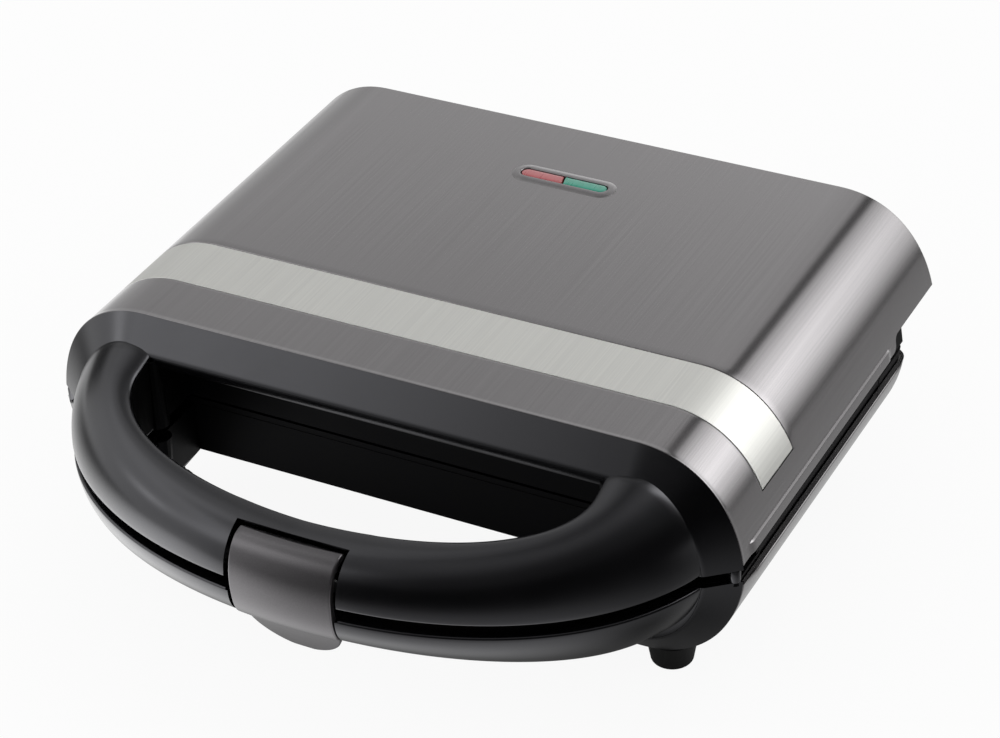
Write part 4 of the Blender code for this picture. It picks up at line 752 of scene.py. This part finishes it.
# %% [markdown]
# ## Finishes
# A finish starts from what the real surface is and how it was made, because that decides its
# colour, its gloss and its pattern. Colours are written as the hex values that a picture shows and
# turned to linear light by one function, and one small helper adds a shader node with its options,
# values and links. Patterns read Object coordinates in metres, so their scale is one over the size
# of the real feature.
#
# An image texture would need a flat layout for every piece. Noise needs none, stays sharp at any
# distance and can be stretched along the brushing, so each finish is made of noise in real sizes.
# One function builds them all, because they differ only in their values.

# %% Colour and node helpers
def linear(code, alpha=1.0):
    """Linear colour of an sRGB hex code: the standard curve, straight near black."""
    value = np.array([int(code[i : i + 2], 16) for i in (1, 3, 5)]) / 255
    low, high = value / 12.92, ((value + 0.055) / 1.055) ** 2.4
    return (*np.where(value <= 0.04045, low, high).tolist(), alpha)


def add(tree, kind, options=None, values=None, links=None):
    """One node with its options, the values of its sockets and what feeds them."""
    made = tree.nodes.new("ShaderNode" + kind)
    for key, value in (options or {}).items():
        setattr(made, key, value)
    for key, value in (values or {}).items():
        made.inputs[key].default_value = value
    for key, output in (links or {}).items():
        tree.links.new(output, made.inputs[key])
    return made


def stretched_noise(tree, where, size, detail=3.0, rough=0.6):
    """Noise whose features measure size = (x, y, z) in millimetres."""
    scale = tuple(1000 / s for s in size)
    mapped = add(tree, "Mapping", {}, {"Scale": scale}, {"Vector": where}).outputs["Vector"]
    values = {"Scale": 1.0, "Detail": detail, "Roughness": rough}
    return add(tree, "TexNoise", {}, values, {"Vector": mapped}).outputs["Fac"]


def remap(tree, value, low, high, start=0.3, end=0.7):
    """The value from start..end moved to low..high."""
    values = {"From Min": start, "From Max": end, "To Min": low, "To Max": high}
    return add(tree, "MapRange", {}, values, {"Value": value}).outputs["Result"]


def make_finish(name, values, colour, roughness=None, relief=None):
    """A material whose colour, roughness and relief follow noise patterns, each one a tuple for
    stretched_noise. The colour is (pattern, dark, light, and the span used if it isn't the usual
    one), the roughness (pattern, low, high), and the relief (patterns to add up, height in
    millimetres, strength)."""
    material = bpy.data.materials.new(name)
    material.use_nodes = True
    tree = material.node_tree
    shader = tree.nodes["Principled BSDF"]
    for key, value in values.items():
        shader.inputs[key].default_value = value
    where = add(tree, "TexCoord").outputs["Object"]
    patterns = [colour[0], *(roughness or ())[:1], *(relief[0] if relief else ())]
    noise = {pattern: stretched_noise(tree, where, *pattern) for pattern in dict.fromkeys(patterns)}
    pattern, dark, light, *span = colour
    mix = add(tree, "Mix", {"data_type": "RGBA"}, {6: linear(dark), 7: linear(light)})
    tree.links.new(remap(tree, noise[pattern], 0, 1, *span), mix.inputs["Factor"])
    tree.links.new(mix.outputs[2], shader.inputs["Base Color"])
    if roughness:
        pattern, low, high = roughness
        tree.links.new(remap(tree, noise[pattern], low, high), shader.inputs["Roughness"])
    if relief:
        patterns, height, strength = relief
        marks = noise[patterns[0]]
        for pattern in patterns[1:]:
            both = {0: marks, 1: noise[pattern]}
            marks = add(tree, "Math", {"operation": "ADD"}, {}, both).outputs["Value"]
        heights = {"Strength": strength, "Distance": height * MM}
        bump = add(tree, "Bump", {}, heights, {"Height": marks})
        tree.links.new(bump.outputs["Normal"], shader.inputs["Normal"])
    return material


# %% [markdown]
# ### Coated steel of the two covers
# The covers are thin steel sheet, brushed from front to rear and given a dark clear coat. The eye
# sees an even warm grey on the flat, and on the bends streaks that run along the brushing, because
# each scratch tips the reflection a little. Real scratches are some 0.05 mm wide, too fine to show
# at this distance, so they are drawn about ten times as coarse in two sizes. The bezel is the same
# steel with a duller coat, so the studio shows in it without sharp edges.

# %% Coated steel
values = {"Metallic": 0.85, "Specular IOR Level": 0.5}
scratches = (((0.5, 90, 0.5), 4.0), ((3.2, 260, 3.2), 2.0))
grey, dents = (scratches[0], "#747273", "#7b797a"), (scratches, 0.012, 0.06)
cloud = ((60, 60, 60), 2.0)
coated_steel = make_finish("brushed_steel_dark_coated", values, grey, (cloud, 0.16, 0.19), dents)
bezel_steel = make_finish("steel_dark_coated_satin", values, grey, (cloud, 0.3, 0.34), dents)
print("coated:", coated_steel.name, bezel_steel.name)

# %% [markdown]
# ### Stainless steel of the band
# The band is bare stainless steel with the same brushing, so it is far brighter than the covers
# and slightly yellow against them. It is the same recipe with a lighter colour, rougher and with
# deeper scratches, because no coat fills them.

# %% Stainless steel
scratches = (((0.45, 60, 0.45), 4.0), ((4, 120, 4), 2.0))
stainless = make_finish(
    "stainless_steel_brushed", {"Metallic": 1.0}, (scratches[0], "#bdbdba", "#c8c8c4"),
    (scratches[1], 0.50, 0.54), (scratches, 0.012, 0.15),
)
print("bare:", stainless.name)

# %% [markdown]
# ### Black plastic of the handle, the rings and the inside
# The mouldings are black ABS from a finely etched mould. The grain is about 0.15 mm, drawn at twice
# that, and it spreads the highlights into a satin sheen. The inside faces are etched coarser, and
# their colour is darker and their reflections turned down almost to nothing as painted shade, so
# the finger bay and the gaps read black. The heads of the closing stops are rubbed smooth.

# %% Black mouldings
def make_black_plastic(name, roughness, grain, shine, dark, light):
    values = {"IOR": 1.53, "Specular IOR Level": shine, "Specular Tint": (0.94, 0.94, 1.0, 1.0)}
    cloud, pits = ((25, 25, 25), 3.0), ((grain, grain, grain), 2.0)
    spread = (cloud, roughness - 0.02, roughness + 0.03)
    return make_finish(name, values, (cloud, dark, light), spread, ((pits,), 0.01, 0.5))


satin_black = make_black_plastic("abs_black_satin", 0.24, 0.3, 0.5, "#030304", "#060607")
# Painted shade: the inside faces get a darker black and almost no reflection, standing in for the
# shade in the finger bay and the gaps.
inner_black_painted_shade = make_black_plastic("abs_black_fine_texture_painted_shade", 0.5, 0.4, 0.05, "#020202", "#040405")
worn_black = make_black_plastic("abs_black_worn_smooth", 0.1, 0.3, 0.8, "#101011", "#161617")
print("black:", *(finish.name for finish in (satin_black, inner_black_painted_shade, worn_black)))

# %% [markdown]
# ### The smaller finishes
# The clip is die-cast metal with dark satin paint. The plates have a sprayed non-stick
# coating with fine speckle over cast aluminium. Heaters, screws and pins are plated steel, the
# shields are bare aluminium sheet, the insulators are fired ceramic, and the feet are moulded
# rubber. The latch pin and the clip's lugs are a near-black steel, which is painted shade for the
# gap behind the clip. Each of these has one pattern, which its colour, roughness and relief share.

# %% Clip, plates, inner metal and rubber
def make_plain(name, values, colours, size, roughness, height=0.01, strength=0.5, detail=(3.0,)):
    """A finish with a single pattern. The colours are (dark, light), with the span if needed."""
    marks = (size, *detail)
    relief = ((marks,), height, strength)
    return make_finish(name, values, (marks, *colours), (marks, *roughness), relief)


clip_paint = make_plain(
    "die_casting_painted_dark", {"Metallic": 0.75, "Coat Weight": 0.15, "Coat Roughness": 0.3},
    ("#4b494b", "#555355"), (0.3, 0.3, 0.3), (0.28, 0.33), 0.006, 0.4,
)
non_stick = make_plain(
    "non_stick_sprayed_on_cast_aluminium", {"Metallic": 0.1, "IOR": 1.4},
    ("#202022", "#39393c", 0.45, 0.72), (0.5, 0.5, 0.5), (0.42, 0.52), 0.02, detail=(3.0, 0.7),
)
plated_steel, rolled_aluminium, painted_shade_dark_steel = (
    make_plain(name, {"Metallic": 1.0}, colours, size, roughness, strength=0.4)
    for name, colours, size, roughness in (
        ("steel_zinc_plated", ("#b9bcc0", "#cfd1d3"), (0.6, 0.6, 0.6), (0.22, 0.32)),
        ("aluminium_sheet_rolled", ("#c9cccf", "#dcdee0"), (60, 0.7, 0.7), (0.3, 0.4)),
        ("steel_dark_painted_shade", ("#151517", "#1e1e20"), (0.6, 0.6, 0.6), (0.4, 0.5)),
    )
)
ceramic, rubber = (
    make_plain(name, {"IOR": 1.5}, colours, size, roughness)
    for name, colours, size, roughness in (
        ("steatite_ceramic_fired", ("#d8d2c4", "#e6e1d6"), (0.8, 0.8, 0.8), (0.5, 0.58)),
        ("rubber_black_moulded", ("#0b0b0b", "#121212"), (0.5, 0.5, 0.5), (0.45, 0.53)),
    )
)
print("painted and coated:", clip_paint.name, non_stick.name)
print("metal:", plated_steel.name, rolled_aluminium.name, painted_shade_dark_steel.name)
print("other:", ceramic.name, rubber.name)

# %% [markdown]
# ### Lenses and lamps
# The lenses are tinted acrylic with a polished top, frosted below so that the lamp behind does not
# show when it is off. They look dusty rather than clear, so most of their colour is in the body of
# the plastic and only a little light passes. The coat is the polish. The lamps are clear glass
# with a little haze, and need no relief.

# %% Lenses and lamps
values = {"IOR": 1.49, "Transmission Weight": 0.04, "Coat Weight": 0.5, "Coat Roughness": 0.08}
ribs = ((1.2, 6, 6), 2.0)
frost = (ribs, 0.25, 0.35)
red_plastic = make_finish("acrylic_red_tinted", values, (ribs, "#aa4a4e", "#b25458"), frost)
green_plastic = make_finish("acrylic_green_tinted", values, (ribs, "#118a72", "#20977f"), frost)
values = {"IOR": 1.5, "Transmission Weight": 0.7, "Roughness": 0.05}
haze = ((2, 2, 2), 2.0)
lamp_glass = make_finish("glass_lamp_envelope", values, (haze, "#dcdcd8", "#f0f0ec", 0.0, 1.0))
print("see-through:", red_plastic.name, green_plastic.name, lamp_glass.name)

# %% [markdown]
# ## Giving each piece its finish
# The new pieces come first, by finish. A node of the frame keeps its mesh and only gets a material,
# which the last word of its name that stands in the table below decides.

# %% Assign the finishes
def dress(piece, material):
    piece.data.materials.clear()
    piece.data.materials.append(material)


for material, pieces in (
    (coated_steel, (lid_cover, base_cover)),
    (bezel_steel, (window_bezel,)),
    (stainless, (bright_band,)),
    (satin_black, (lid_front_ring, base_front_ring, lid_grip, base_grip)),
    (clip_paint, (clip_cover,)),
    # Painted shade: the lugs sit in the shaded gap behind the clip, so they get near-black steel
    # instead of the clip's paint.
    (painted_shade_dark_steel, clip_lugs),
    (worn_black, closing_stops),
    (red_plastic, (lenses["red"],)),
    (green_plastic, (lenses["green"],)),
    (rubber, feet),
):
    for piece in pieces:
        dress(piece, material)

node_finish = {
    "housing": inner_black_painted_shade, "plate": non_stick, "element": plated_steel,
    "reflector": rolled_aluminium, "pin": plated_steel, "thermostat": ceramic,
    "fuse": plated_steel, "block": ceramic, "gland": rubber, "holder": ceramic,
    "lamp": lamp_glass, "shell": coated_steel, "band": stainless, "bezel": bezel_steel,
    "clip": clip_paint, "foot": rubber, "lens": red_plastic,
}
for name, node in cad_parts.items():
    words = [word for word in name.split("_")[::-1] if word in node_finish]
    dress(node, plated_steel if "screw" in name else node_finish[words[0]])
# Painted shade: the latch pin gets near-black steel for the shaded gap behind the clip.
dress(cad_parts["latch_pin"], painted_shade_dark_steel)
print("materials in the file:", len(bpy.data.materials))

# %% [markdown]
# ## Camera
# The camera stands where the photograph was taken from: the angles and the place come from fitting
# the object's known corners to the picture. It is a long lens, nearly a metre away and slightly
# rolled.

# %% Camera
azimuth, elevation, roll = (math.radians(angle) for angle in (28.7623, 34.0226, -2.7704))
camera_place = (0.383859, -0.670720, 0.579784)
plan = math.cos(elevation)
backwards = Vector((math.sin(azimuth) * plan, -math.cos(azimuth) * plan, math.sin(elevation)))
level = (-backwards).cross(Vector((0, 0, 1))).normalized()
above = level.cross(-backwards)
right = math.cos(roll) * level + math.sin(roll) * above
up = math.cos(roll) * above - math.sin(roll) * level
camera_data = bpy.data.cameras.new("camera")
camera_data.lens, camera_data.sensor_width = 108.885, 36
camera = bpy.data.objects.new("camera", camera_data)
turned = Matrix((right, up, backwards)).transposed().to_4x4()
camera.matrix_world = Matrix.Translation(camera_place) @ turned
bpy.context.scene.collection.objects.link(camera)
bpy.context.scene.camera = camera

# %% [markdown]
# ## A light tent
# Metal and glossy plastic show their surroundings, so for them the studio matters more than any
# lamp. Appliances are photographed in a tent: bright cloth behind and to the left, a lit softbox at
# the rear right that draws the streak down the shoulder, a narrow black strip beside it that gives
# the streak its edge, and a dark room in front and to the right, which leaves the handle black. The
# tent here is a dome that only reflections see. Its brightness is a formula of the direction,
# written on its corners, and it lights nothing: that is left to the white surroundings.

# %% The tent's brightness by direction
def soft_edge(value, start, end):
    """0 before start and 1 after end, smooth in between. Start may be the larger one."""
    return smooth_step((value - start) / (end - start))


def tent_light(a, e):
    """Brightness of the tent by azimuth a and elevation e in degrees. It goes round from the back
    cloth to the left cloth and the dark front, and then adds the softbox and its black strip."""
    # Back cloth, with a brighter belt low down and brighter towards the right.
    belt = 0.32 * np.exp(-(((e - 25.5) / 7) ** 2))
    back = 0.8 + belt * soft_edge(a, 230, 216) + 0.24 * soft_edge(a, 214, 186)
    # Left cloth: brighter towards the front and upwards, with a panel and a small lamp in it.
    left = 1.0 + 0.4 * soft_edge(a, 262, 284) + 0.35 * (soft_edge(e, 5, 35) + soft_edge(e, 38, 50))
    left = left + 1.5 * soft_edge(a, 308, 318) * soft_edge(e, 20, 32) * soft_edge(e, 52, 44)
    left = left + 5 * np.exp(-(((a - 303) / 4) ** 2) - ((e - 23) / 4) ** 2)
    light = back + (left - back) * soft_edge(a, 246, 268)
    light = light + 0.35 * soft_edge(a, 215, 235) * soft_edge(e, 42, 52)
    # The seam where the two cloths meet is open low down.
    seam = soft_edge(a, 238, 248) * soft_edge(a, 268, 258) * soft_edge(e, 34, 16)
    light = light + (0.1 - light) * seam
    # The roof is greyer, and so are the cloths' upper ends. The back cloth's foot is brighter.
    light = light + (0.65 - 0.2 * soft_edge(e, 73, 82) - light) * soft_edge(e, 60, 69)
    light = light * (1 - 0.55 * soft_edge(e, 50, 57) * soft_edge(a, 270, 292))
    light = light * (1 - 0.45 * soft_edge(e, 45, 53) * soft_edge(a, 238, 228))
    light = light + 0.9 * soft_edge(e, 22, 14) * soft_edge(a, 215, 205)
    # The dark room in front and to the right, under the same roof.
    room = 0.015 + 0.11 * soft_edge(e, 20, 30)
    room = room + 0.5 * soft_edge(e, 38, 72) - 0.2 * soft_edge(e, 73, 82)
    front = np.clip((348 - a - 35 * soft_edge(e, 44, 62)) / 30, 0, 1) ** 1.4
    light = np.where(a > 180, room + (light - room) * front, light)
    light = np.where(a < 172, room, light)
    # The softbox leans. It is brightest at its right side and fades towards the floor.
    tilted = a + 0.35 * (e - 36)
    softbox = np.clip(1.5 + 0.113 * (162 - tilted), 0, 5.4) * np.clip(1 - (24 - e) / 26, 0, 1)
    within = soft_edge(a, 108, 120) * soft_edge(tilted, 165.5, 163) * soft_edge(e, 68, 52)
    light = light + (softbox - light) * within
    strip = soft_edge(tilted, 163, 165.5) * soft_edge(tilted, 174, 171.5) * soft_edge(e, 66, 54)
    return light * (1 - 0.42 * strip)


def make_lit(name, finish, points, faces, brightness):
    """A studio mesh whose corners carry a brightness. Its material has an emission node that glows
    by it and no output yet. Returns the object, the material's nodes and what the node gives."""
    mesh = bpy.data.meshes.new(name)
    mesh.from_pydata(points.reshape(-1, 3).tolist(), [], faces.tolist())
    glow = mesh.attributes.new("brightness", "FLOAT", "POINT")
    glow.data.foreach_set("value", brightness.ravel().astype(np.float32))
    made = bpy.data.objects.new(name, mesh)
    bpy.context.scene.collection.objects.link(made)
    material = bpy.data.materials.new(finish)
    material.use_nodes = True
    material.cycles.emission_sampling = "NONE"
    material.node_tree.nodes.clear()
    mesh.materials.append(material)
    level = add(material.node_tree, "Attribute", {"attribute_name": "brightness"}).outputs["Fac"]
    shine = add(material.node_tree, "Emission", {}, {}, {"Strength": level}).outputs[0]
    return made, material.node_tree, shine


def make_tent(radius=0.9, middle=(0, 0, 0.05)):
    """A dome of directions by azimuth and elevation, times the radius."""
    azimuths, elevations = np.meshgrid(np.arange(0, 360, 1.5), np.linspace(-3, 90, 63))
    a, e = np.radians(azimuths), np.radians(elevations)
    points = radius * np.stack([np.sin(a) * np.cos(e), -np.cos(a) * np.cos(e), np.sin(e)], axis=-1)
    brightness = tent_light(azimuths, elevations)
    faces = quads(*azimuths.shape, round_columns=True)
    tent, tree, shine = make_lit("tent", "tent_cloth_lit", points + middle, faces, brightness)
    add(tree, "OutputMaterial", {}, {}, {"Surface": shine})
    for use in ("camera", "diffuse", "shadow", "transmission"):
        setattr(tent, "visible_" + use, False)
    print("tent: brightest", round(float(brightness.max()), 2))


make_tent()

# %% [markdown]
# ## Floor and surroundings
# The floor is white card. The camera sees it almost as white as the backdrop, and it keeps a faint
# shadow under the object. In reflections it shows painted light and painted shadow: it is a little
# brighter where the light from the left falls on it, close to the handle, darker in a painted
# shadow under the handle, and greyer to the right. So its material asks each ray what it is: a
# reflection gets the painted glow written on the mesh, and any other ray a mix of white and paint.

# %% Floor and surroundings
def floor_light(x, y):
    """Brightness of the card in reflections, by place in millimetres: painted light and painted
    shadow. A streak of light comes in from the front left towards the clip, a weaker pool and a
    narrow strip lie before the handle, and a painted shadow darkens the card under the handle and
    beside the right foot. Elsewhere it is nearly dark in front, an even grey to the rear and
    brighter to the left."""
    level = 0.06 + 0.5 * soft_edge(y, -80, 80)
    level = level + 0.8 * soft_edge(x, -350, -700) * soft_edge(y, 300, 0)
    level = level + 0.4 * np.exp(-(((x + 240) / 150) ** 2) - ((y - 50) / 140) ** 2)
    level = level + 0.3 * soft_edge(x, -150, -260) * soft_edge(y, 0, 120) * soft_edge(y, 700, 300)
    level = level + 0.75 * np.exp(-(((x - 70) / 130) ** 2) - ((y + 130) / 130) ** 2)
    level = level + 1.3 * np.exp(-(((x - 30) / 70) ** 2) - ((y + 110) / 28) ** 2)
    along = -0.70 * (x + 125) - 0.71 * (y + 160)
    across = 0.71 * (x + 125) - 0.70 * (y + 160)
    along, across = along / np.where(along > 0, 500, 140), across / np.where(across > 0, 66, 105)
    level = level + 3.3 * np.exp(-(along**2) - across**2)
    ahead = (y - HANDLE_CENTRE) / (HANDLE_CENTRE - HANDLE_FRONT)
    plan = np.abs(x / HANDLE_HALF) ** HANDLE_POWER + np.abs(ahead) ** HANDLE_POWER
    # Painted shadow: the card's glow in reflections is turned down under the handle and beside the
    # right foot.
    painted_shadow_under_handle = 0.15 + 0.85 * soft_edge(plan, 0.6, 1.4)
    painted_shadow_beside_foot = 1 - 0.75 * np.exp(-(((x - 115) / 24) ** 2) - ((y + 60) / 26) ** 2)
    return level * painted_shadow_beside_foot * np.where(y < HANDLE_CENTRE, painted_shadow_under_handle, 1)


def make_floor(half=4.0, count=121):
    """A grid whose lines lie close together in the middle: the half width times a sinh."""
    line = half * np.sinh(np.linspace(-4, 4, count)) / math.sinh(4)
    x, y = np.meshgrid(line, line)
    points, brightness = np.stack([x, y, np.zeros_like(x)], axis=-1), floor_light(x / MM, y / MM)
    faces = quads(count, count)
    floor, tree, shine = make_lit("floor", "studio_floor_white", points, faces, brightness)
    rays = add(tree, "LightPath").outputs
    paint = add(tree, "BsdfDiffuse", {}, {"Color": linear("#f4f4f4")}).outputs[0]
    white = add(tree, "Emission", {}, {"Strength": 1.0}).outputs[0]
    times, camera_ray = {"operation": "MULTIPLY"}, {0: rays["Is Camera Ray"]}
    seen = add(tree, "Math", times, {1: 0.92}, camera_ray).outputs[0]
    plain = add(tree, "MixShader", {}, {}, {0: seen, 1: paint, 2: white}).outputs[0]
    both = add(tree, "MixShader", {}, {}, {0: rays["Is Glossy Ray"], 1: plain, 2: shine}).outputs[0]
    add(tree, "OutputMaterial", {}, {}, {"Surface": both})


def make_surroundings():
    """White for the camera, in reflections and through glass, a little dimmer on plain surfaces."""
    world = bpy.data.worlds.new("studio")
    world.use_nodes = True
    tree = world.node_tree
    tree.nodes.clear()
    rays = add(tree, "LightPath").outputs
    seen = rays["Is Camera Ray"]
    for kind in ("Is Glossy Ray", "Is Transmission Ray"):
        seen = add(tree, "Math", {"operation": "MAXIMUM"}, {}, {0: seen, 1: rays[kind]}).outputs[0]
    strength = remap(tree, seen, 0.85, 1.0, 0, 1)
    glow = add(tree, "Background", {}, {"Color": (1, 1, 1, 1)}, {"Strength": strength}).outputs[0]
    add(tree, "OutputWorld", {}, {}, {"Surface": glow})
    bpy.context.scene.world = world


make_floor()
make_surroundings()
bpy.context.scene.view_settings.view_transform = "Standard"
